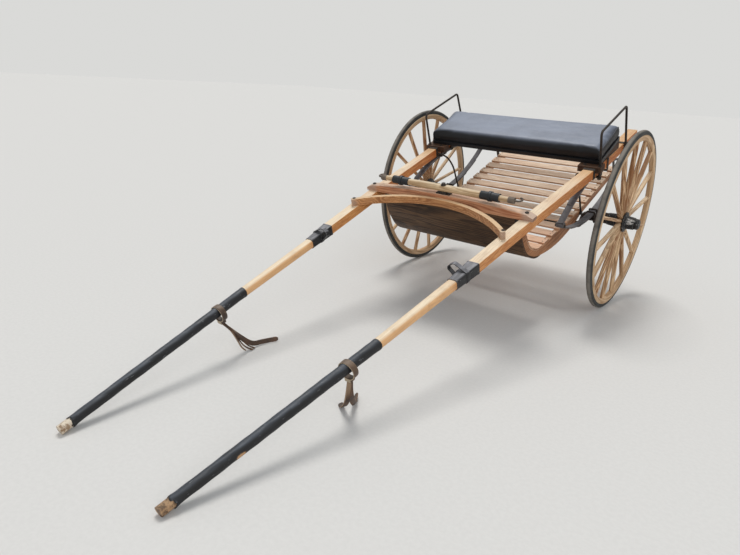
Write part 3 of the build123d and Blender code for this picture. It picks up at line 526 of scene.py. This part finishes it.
def leather(name, dark, light, worn, wear, dust_and_sheen, dust_and_sheen_colour, torn=False, raw=None):
    # worn and raw are the colours of rubs and of cut edges; the dust colour is that of dust and a painted sheen
    # on upward faces
    m = Shader(name)
    place = m.place()
    grain = m.noise(place, 180.0, 4.0, 0.6)
    patch = m.noise(place, 16.0, 5.0, 0.65)
    scuff_at = m.vector("MULTIPLY", m.deck_place(), (60.0, 18.0, 60.0))
    scuff = m.step(m.noise(scuff_at, 1.4, 5.0, 0.75), 0.60, 0.70)
    colour = m.between(m.step(patch, 0.3, 0.7), dark, light)
    rub = m.times(m.edges(0.003), m.step(patch, 0.42, 0.6))
    rub = m.math("MAXIMUM", m.times(rub, wear), m.times(scuff, wear * 0.55))
    colour = m.mix(rub, colour, linear(*worn))
    if raw:
        # cut edges that face along the cart show the raw hide
        cut = m.step(m.math("ABSOLUTE", m.deck_facing()[1]), 0.7, 0.9)
        colour = m.mix(m.times(cut, m.step(grain, 0.2, 0.6, 0.6, 1.0)), colour, linear(*raw))
    # upward faces take a pale film: real dust, and on the black leathers, rubber and piping a painted sheen of
    # the sky
    top = m.step(m.facing(), 0.55, 0.97)
    streak_at = m.vector("MULTIPLY", m.deck_place(), (40.0, 7.0, 40.0))
    streaks = m.step(m.noise(streak_at, 1.0, 4.0, 0.65), 0.3, 0.7, 0.45, 1.15)
    amount = m.times(top, m.step(patch, 0.2, 0.7, 0.6 * dust_and_sheen, dust_and_sheen))
    colour = m.mix(m.times(amount, streaks), colour, linear(*dust_and_sheen_colour))
    rough = m.step(m.plus(m.times(patch, 0.6), m.times(grain, 0.4)), 0.3, 0.7, 0.40, 0.64)
    height = m.plus(m.times(m.cells(700.0), 0.5), m.times(grain, 0.5))
    normal = m.bump(height, 0.35, 0.0006)
    if torn:
        ragged = m.plus(m.spot(m.deck_place(), TEAR_AT, TEAR_REACH), m.times(m.minus(grain, 0.5), 0.8))
        bare = m.step(ragged, 0.95, 0.80)
        lip = m.times(m.step(ragged, 1.25, 1.0), m.minus(1.0, bare))
        colour = m.mix(m.times(lip, 0.5), colour, linear(*TEAR_LIP))
        colour = m.mix(bare, colour, m.between(grain, *TEAR_WOOD))
        normal = m.bump(m.minus(lip, bare), 0.6, 0.0014, normal)
    return m.finish(colour, rough, normal, Specular_IOR_Level=0.45)


# where the hubs are scraped bare: (distance from the cart's middle, y, z), and its reach
SCRAPE_AT = (axle_x + 0.056, axle_y - 0.026, axle_z + 0.012)
SCRAPE_REACH = (0.028, 0.028, 0.022)


def metal(name, dark, light, bare, rust, wear, rusty, gloss, metallic, scraped=0.0):
    # bare and rust are the colours of rubbed and rusty metal
    m = Shader(name)
    place = m.place()
    patch = m.noise(place, 12.0, 5.0, 0.6)
    fine = m.noise(place, 160.0, 4.0, 0.65)
    colour = m.between(m.step(patch, 0.3, 0.7), dark, light)
    rust_at = m.plus(m.times(m.noise(place, 35.0, 6.0, 0.7), 0.7), m.times(fine, 0.3))
    rust_at = m.times(m.step(rust_at, 0.56, 0.66), rusty)
    colour = m.mix(rust_at, colour, linear(*rust))
    rub = m.times(m.times(m.edges(0.003), m.step(fine, 0.35, 0.6)), wear)
    if scraped:
        smear = m.noise(m.vector("MULTIPLY", place, (26.0, 60.0, 60.0)), 1.5, 6.0, 0.8)
        x, y, z = m.split(place)
        near = m.step(m.spot(m.join(m.math("ABSOLUTE", x), y, z), SCRAPE_AT, SCRAPE_REACH), 1.3, 0.5, 0.0, 0.16)
        rub = m.math("MAXIMUM", rub, m.times(m.step(m.plus(smear, near), 0.60, 0.66), scraped))
    colour = m.mix(rub, colour, linear(*bare))
    rough = m.step(fine, 0.3, 0.7, 0.78 - 0.5 * gloss, 0.95 - 0.5 * gloss)
    height = m.plus(m.times(fine, 0.6), m.times(rust_at, 0.6))
    metallic_at = m.times(m.minus(1.0, rust_at), metallic)
    return m.finish(colour, rough, m.bump(height, 0.25, 0.0006), metallic_at)


# the tyre's tread, by its distance from the hub's middle, and the colours on it
TREAD = (0.551, 0.5595)
TYRE_RUBBER = ((34, 36, 35), (55, 56, 54))
ROAD_DUST = (146, 138, 128)
ROAD_SPECKS = (122, 112, 98)


def rubber_tyre(name, side):
    m = Shader(name)
    angle, reach, _ = wheel_place(m, side)
    place = m.place()
    fine = m.noise(place, 220.0, 4.0, 0.7)
    patch = m.noise(place, 14.0, 4.0, 0.6)
    colour = m.between(m.step(patch, 0.3, 0.7), *TYRE_RUBBER)
    tread = m.step(reach, *TREAD)
    pale_coat = m.times(tread, m.step(patch, 0.25, 0.6, 0.30, 0.66))
    colour = m.mix(pale_coat, colour, linear(*ROAD_DUST))
    speck = m.step(m.noise(place, 90.0, 5.0, 0.7), 0.6, 0.7)
    colour = m.mix(m.times(speck, 0.35), colour, linear(*ROAD_SPECKS))
    ridges = m.math("SINE", m.times(angle, 420.0))
    height = m.plus(fine, m.times(m.times(ridges, tread), 0.04))
    return m.finish(colour, m.step(fine, 0.3, 0.7, 0.68, 0.88), m.bump(height, 0.3, 0.0008))


SEAT_VINYL = ((10, 11, 14), (19, 21, 26))
SEAT_DUST_AND_SHEEN = (152, 162, 182)


def vinyl(name, pale_coat=True):
    m = Shader(name)
    place = m.place()
    patch = m.noise(place, 7.0, 4.0, 0.55)
    fine = m.noise(place, 120.0, 4.0, 0.6)
    colour = m.between(m.step(patch, 0.3, 0.7), *SEAT_VINYL)
    # the tops take a pale blue-grey coat: partly dust, partly a painted sheen of the sky
    if pale_coat:
        top = m.step(m.facing(), 0.22, 0.99)
        dust_and_sheen = m.times(top, m.step(patch, 0.2, 0.75, 0.48, 0.66))
        colour = m.mix(dust_and_sheen, colour, linear(*SEAT_DUST_AND_SHEEN))
    creases = m.step(m.noise(m.vector("MULTIPLY", m.deck_place(), (9.0, 30.0, 30.0)), 1.0, 3.0), 0.3, 0.7)
    height = m.plus(m.times(m.cells(520.0), 0.35), m.times(fine, 0.3))
    normal = m.bump(height, 0.22, 0.0005)
    normal = m.bump(creases, 0.12, 0.006, normal)
    rough = m.step(fine, 0.3, 0.7, 0.36, 0.50)
    return m.finish(colour, rough, normal, Specular_IOR_Level=0.30, Sheen_Weight=0.05)


MATERIALS = {
    "shaft": wood(
        "shaft wood", (178, 110, 58), (226, 166, 104), "u", pale=(255, 238, 208), bleach_and_top_light=0.95,
        gloss=0.6, cracks=0.3, figure=0.16, pole=True, fade=(-0.46, -0.14, (0.86, 0.66, 0.47))),
    "crossbar": wood(
        "crossbar wood", (166, 104, 70), (226, 172, 130), "x", pale=(246, 216, 188), bleach_and_top_light=0.8,
        gloss=0.55, cracks=0.5, figure=0.24, ends=0.5),
    "bow": wood(
        "bow wood", (146, 92, 50), (214, 158, 104), "x", pale=(246, 218, 176), bleach_and_top_light=0.75,
        gloss=0.55, cracks=0.5, figure=0.22, ends=0.5),
    "beam": wood(
        "beam wood", (108, 72, 46), (164, 118, 82), "x", pale=(190, 158, 128), bleach_and_top_light=0.5,
        gloss=0.4, cracks=0.5),
    "tree": wood(
        "singletree wood", (168, 136, 100), (226, 198, 158), "x", pale=(244, 226, 196), bleach_and_top_light=0.75,
        gloss=0.35, cracks=0.6),
    "basket": wood(
        "basket rail wood", (134, 86, 52), (192, 138, 96), "u", pale=(220, 184, 150), bleach_and_top_light=0.6,
        gloss=0.45, cracks=0.5),
    "slat": wood(
        "slat wood", (188, 140, 104), (244, 210, 178), "x", pale=(255, 236, 212), bleach_and_top_light=0.6,
        gloss=0.25, cracks=0.6, boards=1.3, fade=(-0.05, -0.50, (0.90, 0.77, 0.71))),
    "board": wood(
        "dark board wood", (46, 29, 15), (104, 76, 50), "x", pale=(132, 102, 72), bleach_and_top_light=0.3,
        gloss=0.35, cracks=0.4),
    # very dark: the shade under the seat is painted into the risers' and blocks' colour
    "riser": wood(
        "riser wood", (48, 30, 18), (84, 56, 38), "u", pale=(112, 84, 62), bleach_and_top_light=0.25,
        gloss=0.35, cracks=0.4),
    # the black pieces' blue-grey top colours below are a painted sky sheen over a little dust
    "black_leather": leather(
        "black leather", (16, 16, 18), (28, 28, 31), worn=(176, 172, 170), wear=0.6,
        dust_and_sheen=0.75, dust_and_sheen_colour=(154, 154, 160)),
    "sleeve": leather(
        "sleeve leather", (10, 11, 13), (24, 25, 29), worn=(176, 178, 182), wear=0.55,
        dust_and_sheen=0.32, dust_and_sheen_colour=(100, 112, 128), torn=True),
    "brown_leather": leather(
        "brown leather", (58, 42, 32), (100, 78, 60), worn=(182, 158, 130), wear=0.9,
        dust_and_sheen=0.28, dust_and_sheen_colour=(156, 142, 126), raw=(176, 158, 132)),
    "strap_leather": leather(
        "strap leather", (46, 32, 24), (92, 66, 48), worn=(168, 136, 106), wear=0.9,
        dust_and_sheen=0.14, dust_and_sheen_colour=(140, 122, 104), raw=(150, 124, 98)),
    "rubber": leather(
        "black rubber", (12, 15, 18), (26, 30, 35), worn=(96, 96, 96), wear=0.3,
        dust_and_sheen=0.25, dust_and_sheen_colour=(104, 112, 122)),
    "piping": leather(
        "seat piping", (20, 21, 24), (34, 36, 40), worn=(120, 122, 128), wear=0.3,
        dust_and_sheen=0.5, dust_and_sheen_colour=(140, 146, 158)),
    "iron": metal(
        "dark iron", (34, 29, 26), (54, 46, 40), bare=(126, 112, 98), rust=(98, 60, 36),
        wear=0.5, rusty=0.5, gloss=0.4, metallic=0.35),
    "worn_iron": metal(
        "worn iron", (86, 76, 68), (132, 120, 108), bare=(186, 178, 166), rust=(112, 82, 58),
        wear=0.6, rusty=0.5, gloss=0.4, metallic=0.35),
    "spring": metal(
        "spring steel", (70, 70, 74), (108, 106, 108), bare=(168, 160, 148), rust=(118, 86, 62),
        wear=0.6, rusty=0.45, gloss=0.45, metallic=0.25),
    "hub": metal(
        "hub iron", (18, 18, 19), (36, 36, 37), bare=(206, 204, 200), rust=(92, 64, 44),
        wear=0.45, rusty=0.15, gloss=0.7, metallic=0.2, scraped=0.85),
    "vinyl": vinyl("seat vinyl"),
    "cover": vinyl("seat board cover", pale_coat=False),
}
for name, s in sides:
    MATERIALS[f"felloe_{name}"] = wood(
        f"felloe wood {name}", (168, 132, 96), (222, 192, 154), "ring", gloss=0.4, cracks=0.5, side=name)
    # the spokes' paler tops are painted light from the sky above
    MATERIALS[f"spokes_{name}"] = wood(
        f"spoke wood {name}", (140, 96, 60), (242, 210, 168), "ray", pale=(250, 228, 190), bleach_and_top_light=0.55,
        gloss=0.5, cracks=0.7, side=name)
    MATERIALS[f"tyre_{name}"] = rubber_tyre(f"tyre rubber {name}", name)


def paint(piece, key):
    piece.data.materials.clear()
    piece.data.materials.append(MATERIALS[key])


def soften(piece, width):
    # rounds the sharp edges by a width in millimetres
    weld = piece.modifiers.new("weld", "WELD")
    weld.merge_threshold = 0.00002
    bevel = piece.modifiers.new("edge", "BEVEL")
    bevel.width = width / 1000
    bevel.segments = 2
    bevel.limit_method = "ANGLE"
    bevel.angle_limit = radians(32.0)
    bevel.harden_normals = True
    bevel.use_clamp_overlap = True


# CAD nodes that stay: (node or stem, material, edge rounding in mm)
PAIRS = (
    ("shaft", "shaft", 2.0), ("shaft_wrap", "black_leather", 0.8), ("holdback_loop", "black_leather", 0.8),
    ("tug_ring", "brown_leather", 0.8), ("basket_rail", "basket", 2.0), ("basket_hanger", "iron", 0.8),
    ("spring_lower", "spring", 0.8), ("spring_upper", "spring", 0.8), ("seat_riser", "riser", 1.5),
    ("arm_rail", "iron", 0.5), ("hub", "hub", 1.2), ("hub_cap", "hub", 1.0),
)
SINGLES = (
    ("crossbar", "crossbar", 2.0), ("bow", "bow", 2.5), ("singletree_pivot", "iron", 1.0),
    ("singletree", "tree", 1.0), ("trace_keepers", "rubber", 1.0), ("trace_hooks", "worn_iron", 0.6),
    ("basket_front", "board", 1.5), ("basket_toe", "slat", 1.0), ("basket_slats", "slat", 2.0),
    ("basket_brackets", "iron", 0.8), ("rear_bar", "beam", 2.0), ("basket_rear_irons", "iron", 0.8),
    ("axle", "iron", 1.0), ("spring_bolts", "iron", 0.8), ("axle_clips", "iron", 0.6),
    ("shaft_clips", "iron", 0.6), ("seat_board", "cover", 1.5), ("seat_blocks", "riser", 2.0),
    ("arm_rail_clamps", "iron", 0.6),
)
WHEEL_PARTS = (("felloe", 1.5), ("spokes", 1.0))
for stem, key, width in PAIRS:
    for name, s in sides:
        paint(nodes[f"{stem}_{name}"], key)
        soften(nodes[f"{stem}_{name}"], width)
for node, key, width in SINGLES:
    paint(nodes[node], key)
    soften(nodes[node], width)
for name, s in sides:
    for part, width in WHEEL_PARTS:
        paint(nodes[f"{part}_{name}"], f"{part}_{name}")
        soften(nodes[f"{part}_{name}"], width)
    paint(nodes[f"tyre_{name}"], f"tyre_{name}")
for tail in tails.values():
    paint(tail, "strap_leather")


def keep(piece, key):
    paint(piece, key)
    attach(piece, "root")


# Shaft line, as in the CAD solids: (u, x, h, width, depth), metres
WRAP_REAR, WRAP_FRONT, LOOP_U = -1.375, -1.545, -1.462
shaft_rows = (
    (0.610, 0.557, 0.0, 0.062, 0.056), (0.060, 0.558, 0.0, 0.062, 0.056), (-0.160, 0.547, 0.0, 0.062, 0.056),
    (-0.900, 0.497, -0.003, 0.062, 0.056), (WRAP_REAR, 0.462, -0.012, 0.058, 0.052),
    (WRAP_FRONT, 0.448, -0.017, 0.050, 0.049), (-2.070, 0.408, -0.019, 0.047, 0.047),
    (-3.045, 0.317, -0.023, 0.038, 0.038),
)


def shaft_at(u):
    # the shaft's (x, h, width, depth) at u
    for rear, front in zip(shaft_rows, shaft_rows[1:]):
        if front[0] <= u <= rear[0]:
            t = (u - rear[0]) / (front[0] - rear[0])
            return [a + t * (b - a) for a, b in zip(rear[1:], front[1:])]


# Leather sleeves over the shafts' front ends, drawn on tight, with a seam below
SLEEVE_REAR = -2.058
SLEEVE_FRONT = -2.998
SLEEVE_THICK = 0.0011
SLEEVE_STEPS = 150
SLEEVE_SIDES = 36
SEAM_SIDE = 27
SEAM_RISE = 0.0009
LIP_STEPS = 3
# waves in the leather: (height, waves round the shaft, radians for each metre along it)
RIPPLES = ((0.00035, 5, 31.0), (0.0003, 3, 83.0))
# the share of the sleeve that frays at its front edge, how ragged it is and how far it stands off
FRAY_SHARE = 0.03
FRAY_LONG = 0.006
FRAY_LIFT = 0.0014
# the rags: (length, waves round the shaft, how much they differ from side to side)
RAGS = ((1.0, 3, 1.0), (0.6, 7, 2.0), (0.5, 11, 0.0))
for name, s in sides:
    rings = []
    for i in range(SLEEVE_STEPS + 1):
        u = SLEEVE_REAR + (SLEEVE_FRONT - SLEEVE_REAR) * i / SLEEVE_STEPS
        x, h, width, _ = shaft_at(u)
        lip = SEAM_RISE if i < LIP_STEPS else 0.0
        fray = max(0.0, (i - (1 - FRAY_SHARE) * SLEEVE_STEPS) / (FRAY_SHARE * SLEEVE_STEPS))
        ring = []
        for j in range(SLEEVE_SIDES):
            turn = 2 * pi * j / SLEEVE_SIDES
            seam = SEAM_RISE if j == SEAM_SIDE else 0.0
            ripple = sum(high * sin(waves * turn + along * u) for high, waves, along in RIPPLES)
            ragged = sum(long * sin(waves * turn + shift * s) for long, waves, shift in RAGS)
            reach = width / 2 + SLEEVE_THICK + lip + seam + ripple
            reach += FRAY_LIFT * fray * fray * (1.2 + sin(5.0 * turn))
            place = (s * x + reach * cos(turn), u + FRAY_LONG * fray * ragged, h + reach * sin(turn))
            ring.append(deck(*place))
        rings.append(ring)
    keep(mesh_object(f"shaft_sleeve_{name}", *skin(rings)), "sleeve")


# Straps round the shaft wraps, at the holdback loops and just inside the wraps' ends:
# (u, width, thickness)
HEM_INSET = 0.004
BANDS = (
    (LOOP_U, 0.025, 0.0028), (WRAP_FRONT + HEM_INSET, 0.007, 0.0011), (WRAP_REAR - HEM_INSET, 0.007, 0.0011),
)
# a band's section: (share of its width, share of its thickness)
BAND_SECTION = ((-0.5, 0.0), (-0.48, 0.7), (-0.42, 1.0), (0.42, 1.0), (0.48, 0.7), (0.5, 0.0))
BAND_BASE = 0.0028
WRAP_CORNER_REAR = 0.004
WRAP_CORNER_GROWTH = 0.012
CORNER_POINTS = 6


def box_ring(x, u, h, wide, tall, corner):
    # the points of a rounded oblong round the shaft at u
    ring = []
    for k, (sx, sy) in enumerate(((1, 1), (-1, 1), (-1, -1), (1, -1))):
        for j in range(CORNER_POINTS):
            turn = pi / 2 * (k + j / (CORNER_POINTS - 1))
            ring.append(deck(
                x + sx * (wide / 2 - corner) + corner * cos(turn), u,
                h + sy * (tall / 2 - corner) + corner * sin(turn),
            ))
    return ring


def band(side, u, width, thick):
    _, _, wide, tall = shaft_at(u)
    blend = min(1.0, max(0.0, (u - WRAP_REAR) / (WRAP_FRONT - WRAP_REAR)))
    rings = []
    for at, grow in BAND_SECTION:
        ring_u = u + at * width
        x, h, _, _ = shaft_at(ring_u)
        reach = BAND_BASE + grow * thick
        corner = WRAP_CORNER_REAR + WRAP_CORNER_GROWTH * blend + reach
        rings.append(box_ring(
            side_sign[side] * x, ring_u, h, wide + 2 * reach, tall + 2 * reach, corner))
    return skin(rings)


for name, s in sides:
    bands = mesh_object(f"holdback_band_{name}", *joined(band(name, *row) for row in BANDS))
    keep(bands, "black_leather")


# Fasteners: many small heads gathered into one piece, turned so that no hexagon lies square
HEAD_TURN = 0.3


class Heads:
    def __init__(self):
        self.points = []
        self.faces = []

    def turn(self, place, normal, profile, count=14):
        # revolves (radius, height) pairs about the normal, closed at both ends
        axis = Vector(normal).normalized()
        side = axis.orthogonal().normalized()
        other = axis.cross(side)
        base = len(self.points)
        for radius, height in profile:
            for i in range(count):
                a = 2 * pi * i / count + HEAD_TURN
                self.points.append(Vector(place) + axis * height + radius * (side * cos(a) + other * sin(a)))
        for k in range(len(profile) - 1):
            for i in range(count):
                j = (i + 1) % count
                p, q = base + k * count, base + (k + 1) * count
                self.faces.append((p + i, p + j, q + j, q + i))
        top = base + (len(profile) - 1) * count
        self.faces.append(tuple(top + i for i in range(count)))
        self.faces.append(tuple(base + i for i in range(count))[::-1])

    def dome(self, place, normal, r):
        self.turn(place, normal, (
            (r, -0.001), (r, 0.12 * r), (0.93 * r, 0.3 * r), (0.72 * r, 0.47 * r), (0.4 * r, 0.58 * r),
            (0.12 * r, 0.61 * r)))

    def nut(self, place, normal, r):
        # a washer, a hexagon and the bolt's end
        self.turn(place, normal, ((1.45 * r, -0.001), (1.45 * r, 0.0016), (1.38 * r, 0.002)))
        self.turn(place, normal, ((r, 0.0018), (r, 0.85 * r), (0.86 * r, r)), 6)
        self.turn(place, normal, ((0.55 * r, 0.9 * r), (0.55 * r, 1.35 * r), (0.45 * r, 1.5 * r)), 10)

    def screw(self, place, normal, r):
        self.turn(place, normal, ((r, -0.0008), (r, 0.0003), (0.8 * r, 0.0009), (0.35 * r, 0.0011)), 10)

    def piece(self, name):
        keep(mesh_object(name, self.points, self.faces, False), "iron")


# bolts through the crossbar's and the bow's ends, and through the front panel's brackets
BAR_BOLT_X, BAR_BOLT_TOP, SHAFT_UNDERSIDE = 0.498, 0.0608, -0.031
BOW_BOLT_X, BOW_BOLT_U, BOW_BOLT_TOP = 0.478, -1.108, 0.0605
RAIL_X = 0.432
PANEL_U = -0.8562
BRACKET_BOLT_HEIGHTS = (-0.030, -0.055)
BAR_BOLT_RADIUS, BAR_NUT_RADIUS, BOW_BOLT_RADIUS, BRACKET_BOLT_RADIUS = 0.011, 0.009, 0.010, 0.007
bolts = Heads()
for name, s in sides:
    bolts.dome(deck(s * BAR_BOLT_X, BAR_U, BAR_BOLT_TOP), deck_up, BAR_BOLT_RADIUS)
    bolts.nut(deck(s * BAR_BOLT_X, BAR_U, SHAFT_UNDERSIDE), -deck_up, BAR_NUT_RADIUS)
    bolts.dome(deck(s * BOW_BOLT_X, BOW_BOLT_U, BOW_BOLT_TOP), deck_up, BOW_BOLT_RADIUS)
    for h in BRACKET_BOLT_HEIGHTS:
        bolts.dome(deck(s * RAIL_X, PANEL_U, h), -deck_back, BRACKET_BOLT_RADIUS)

# slat screws: two at each end of every board, over the rails, on the CAD slats' places
FLOOR_FRONT, FLOOR_MIDDLE, FLOOR_REAR = (-0.640, -0.345), (0.0, -0.374), (0.690, -0.326)
TOE_END_U = -0.560
RAIL_DEPTH = 0.036
BOARD_THICK = 0.012
SLAT_WIDTH = 0.070
SLAT_GAP = 0.024
SCREW_SHIFT = 0.018
SCREW_RADIUS = 0.0042
toe_share = (TOE_END_U - FLOOR_FRONT[0]) / (FLOOR_MIDDLE[0] - FLOOR_FRONT[0])
toe_end = (TOE_END_U, FLOOR_FRONT[1] + toe_share * (FLOOR_MIDDLE[1] - FLOOR_FRONT[1]))
board_top = RAIL_DEPTH + BOARD_THICK
screws = Heads()
for start, end in ((toe_end, FLOOR_MIDDLE), (FLOOR_MIDDLE, FLOOR_REAR)):
    run = hypot(end[0] - start[0], end[1] - start[1])
    slope = atan2(end[1] - start[1], end[0] - start[0])
    up = deck_up * cos(slope) - deck_back * sin(slope)
    count = int(run // (SLAT_WIDTH + SLAT_GAP))
    for i in range(count):
        middle = SLAT_GAP + SLAT_WIDTH / 2 + i * run / count
        for name, s in sides:
            for along in (middle - SCREW_SHIFT, middle + SCREW_SHIFT):
                u = start[0] + along * cos(slope) - board_top * sin(slope)
                h = start[1] + along * sin(slope) + board_top * cos(slope)
                screws.screw(deck(s * RAIL_X, u, h), up, SCREW_RADIUS)
bolts.piece("frame_bolts")
screws.piece("slat_screws")

# Seat cushion: a boxed pad that swells under its cover, then its seams
SEAT_PITCH = radians(8.0)
SEAT_FRONT_U, SEAT_BASE_H, SEAT_RISE = -0.095, 0.038, 0.0223
seat_up = deck_up * cos(SEAT_PITCH) - deck_back * sin(SEAT_PITCH)
seat_back = deck_back * cos(SEAT_PITCH) + deck_up * sin(SEAT_PITCH)
seat_origin = deck(0, SEAT_FRONT_U, SEAT_BASE_H) + seat_up * SEAT_RISE
CUSHION_LONG = 1.200
CUSHION_DEEP = 0.346
CUSHION_THICK = 0.080
# what the pad leaves free to swell into, and how much thicker it is at the rear
SWELL_ROOM = (0.012, 0.008, 0.014)
FRONT_ROOM = 0.006
REAR_GROWTH = 0.012
EDGE_ROLL = 0.036
VOXEL = 0.007
CLOTH_PRESSURE = 4.0
CLOTH_STIFFNESS = 20
CLOTH_FRAMES = 20
# the share of the swelling that is kept, and its limits
SWELL_KEPT = 0.55
MAX_SWELL = 0.010
MAX_HALF = 0.602


def seat(x, d, z):
    return seat_origin + Vector((x, 0, 0)) + seat_back * d + seat_up * z


def cushion_mesh():
    mesh = bpy.data.meshes.new("seat_pad")
    shape = bmesh.new()
    bmesh.ops.create_cube(shape, size=1.0)
    for v in shape.verts:
        v.co.x *= CUSHION_LONG - SWELL_ROOM[0]
        v.co.y = (v.co.y + 0.5) * (CUSHION_DEEP - SWELL_ROOM[1]) + FRONT_ROOM
        v.co.z = (v.co.z + 0.5) * (CUSHION_THICK - SWELL_ROOM[2] + REAR_GROWTH * v.co.y / CUSHION_DEEP)
    top_edges = [e for e in shape.edges if all(v.co.z > CUSHION_THICK / 2 for v in e.verts)]
    bmesh.ops.bevel(shape, geom=top_edges, offset=EDGE_ROLL, segments=8, affect="EDGES", profile=0.5)
    shape.to_mesh(mesh)
    shape.free()
    return mesh


def settle(piece):
    # the piece's mesh becomes what its modifiers make of it
    bpy.context.view_layer.update()
    depsgraph = bpy.context.evaluated_depsgraph_get()
    mesh = bpy.data.meshes.new_from_object(piece.evaluated_get(depsgraph))
    piece.modifiers.clear()
    piece.data = mesh


pad = bpy.data.objects.new("seat_pad", cushion_mesh())
bpy.context.scene.collection.objects.link(pad)
remesh = pad.modifiers.new("remesh", "REMESH")
remesh.mode = "VOXEL"
remesh.voxel_size = VOXEL
remesh.use_smooth_shade = True
settle(pad)
rest = [v.co.copy() for v in pad.data.vertices]
cloth = pad.modifiers.new("cloth", "CLOTH")
cloth.settings.use_pressure = True
cloth.settings.uniform_pressure_force = CLOTH_PRESSURE
cloth.settings.tension_stiffness = CLOTH_STIFFNESS
cloth.settings.effector_weights.gravity = 0.0
for number in range(1, CLOTH_FRAMES + 1):
    bpy.context.scene.frame_set(number)
settle(pad)
bpy.context.scene.frame_set(1)
for vertex, home in zip(pad.data.vertices, rest):
    move = SWELL_KEPT * (vertex.co - home)
    if move.length > MAX_SWELL:
        move *= MAX_SWELL / move.length
    place = home + move
    # the underside stays on the board, and the ends between the arm rails
    place.z = max(place.z, 0.0)
    place.x = max(-MAX_HALF, min(MAX_HALF, place.x))
    vertex.co = seat(*place)
pad.data.update()
soft = pad.modifiers.new("soft", "SMOOTH")
soft.factor = 0.5
soft.iterations = 8
finer = pad.modifiers.new("finer", "SUBSURF")
finer.levels = 1
finer.render_levels = 1
keep(pad, "vinyl")
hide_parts("seat_cushion")

# Piping: a cord sewn round both ends of the cushion, laid on its surface
PIPING_X = 0.578
PIPING_RADIUS = 0.0026
PIPING_SIDES = 8
PIPING_STEPS = 96
# the arc over the cushion, in half turns: where it starts and how far it goes
PIPING_START = -0.08
PIPING_SWEEP = 1.16
# rays start this far out, from a middle at this share of the thickness
RAY_REACH = 0.4
RAY_MIDDLE = 0.30
# the share of its radius by which the cord stands on the cover
PIPING_STAND = 0.45
bpy.context.view_layer.update()
cover = BVHTree.FromObject(pad, bpy.context.evaluated_depsgraph_get())


def piping(s):
    middle = seat(s * PIPING_X, CUSHION_DEEP / 2, CUSHION_THICK * RAY_MIDDLE)
    line = []
    for k in range(PIPING_STEPS + 1):
        turn = pi * (k / PIPING_STEPS * PIPING_SWEEP + PIPING_START)
        away = seat_back * -cos(turn) * RAY_REACH + seat_up * sin(turn) * RAY_REACH
        hit, normal, _, _ = cover.ray_cast(middle + away, -away.normalized())
        if hit:
            line.append(hit + normal * PIPING_RADIUS * PIPING_STAND)
    side = Vector((1, 0, 0))
    rings = []
    for i, point in enumerate(line):
        other = direction(line, i).cross(side).normalized()
        turns = [2 * pi * j / PIPING_SIDES for j in range(PIPING_SIDES)]
        rings.append([point + PIPING_RADIUS * (side * cos(turn) + other * sin(turn)) for turn in turns])
    return skin(rings)


keep(mesh_object("seat_piping", *joined(piping(s) for name, s in sides)), "piping")

# Floor, sky and lights
FLOOR_REACH = 60.0
FLOOR_COLOUR = linear(214, 213, 210)
FLOOR_SPECKLE = 0.96
SKY_COLOUR = (0.70, 0.70, 0.685, 1.0)
FILL_COLOUR = (0.93, 0.96, 1.0, 1.0)
FILL_STRENGTH = 0.50
scene = bpy.context.scene
scene.view_settings.view_transform = "Standard"
floor_look = Shader("floor pale")
speckle = floor_look.noise(floor_look.place(), 60.0, 4.0, 0.6)
floor_tint = floor_look.mix(
    floor_look.step(speckle, 0.3, 0.7), FLOOR_COLOUR, tuple(v * FLOOR_SPECKLE for v in FLOOR_COLOUR[:3]) + (1.0,))
floor_look.finish(floor_tint, 0.9, None, Specular_IOR_Level=0.1)
floor = mesh_object(
    "floor",
    [Vector((x * FLOOR_REACH, y * FLOOR_REACH, 0)) for x, y in ((-1, -1), (1, -1), (1, 1), (-1, 1))],
    [(0, 1, 2, 3)],
    False,
)
floor.data.materials.append(floor_look.material)

# the sky that the camera, mirrors and glass see isn't the one that lights the cart
world = bpy.data.worlds.new("studio")
scene.world = world
world.use_nodes = True
tree = world.node_tree
tree.nodes.clear()
ray = tree.nodes.new("ShaderNodeLightPath")
seen = ray.outputs["Is Camera Ray"]
for kind in ("Is Glossy Ray", "Is Transmission Ray"):
    either = tree.nodes.new("ShaderNodeMath")
    either.operation = "MAXIMUM"
    tree.links.new(seen, either.inputs[0])
    tree.links.new(ray.outputs[kind], either.inputs[1])
    seen = either.outputs[0]
choose = tree.nodes.new("ShaderNodeMixShader")
tree.links.new(seen, choose.inputs[0])
for socket, colour, strength in ((1, FILL_COLOUR, FILL_STRENGTH), (2, SKY_COLOUR, 1.0)):
    background = tree.nodes.new("ShaderNodeBackground")
    background.inputs["Color"].default_value = colour
    background.inputs["Strength"].default_value = strength
    tree.links.new(background.outputs[0], choose.inputs[socket])
sky = tree.nodes.new("ShaderNodeOutputWorld")
tree.links.new(choose.outputs[0], sky.inputs[0])


def sun(name, toward, strength, angle, colour):
    # a broad lamp far away: its light travels along "toward"
    data = bpy.data.lights.new(name, "SUN")
    data.energy = strength
    data.angle = radians(angle)
    data.color = colour
    light = bpy.data.objects.new(name, data)
    scene.collection.objects.link(light)
    light.rotation_euler = Vector(toward).to_track_quat("-Z", "Y").to_euler()


sun("key", toward=(0.30, -0.22, -1.0), strength=1.68, angle=24.0, colour=(1.0, 0.98, 0.95))
sun("side", toward=(-0.75, 0.60, -0.55), strength=0.80, angle=40.0, colour=(0.98, 0.99, 1.0))
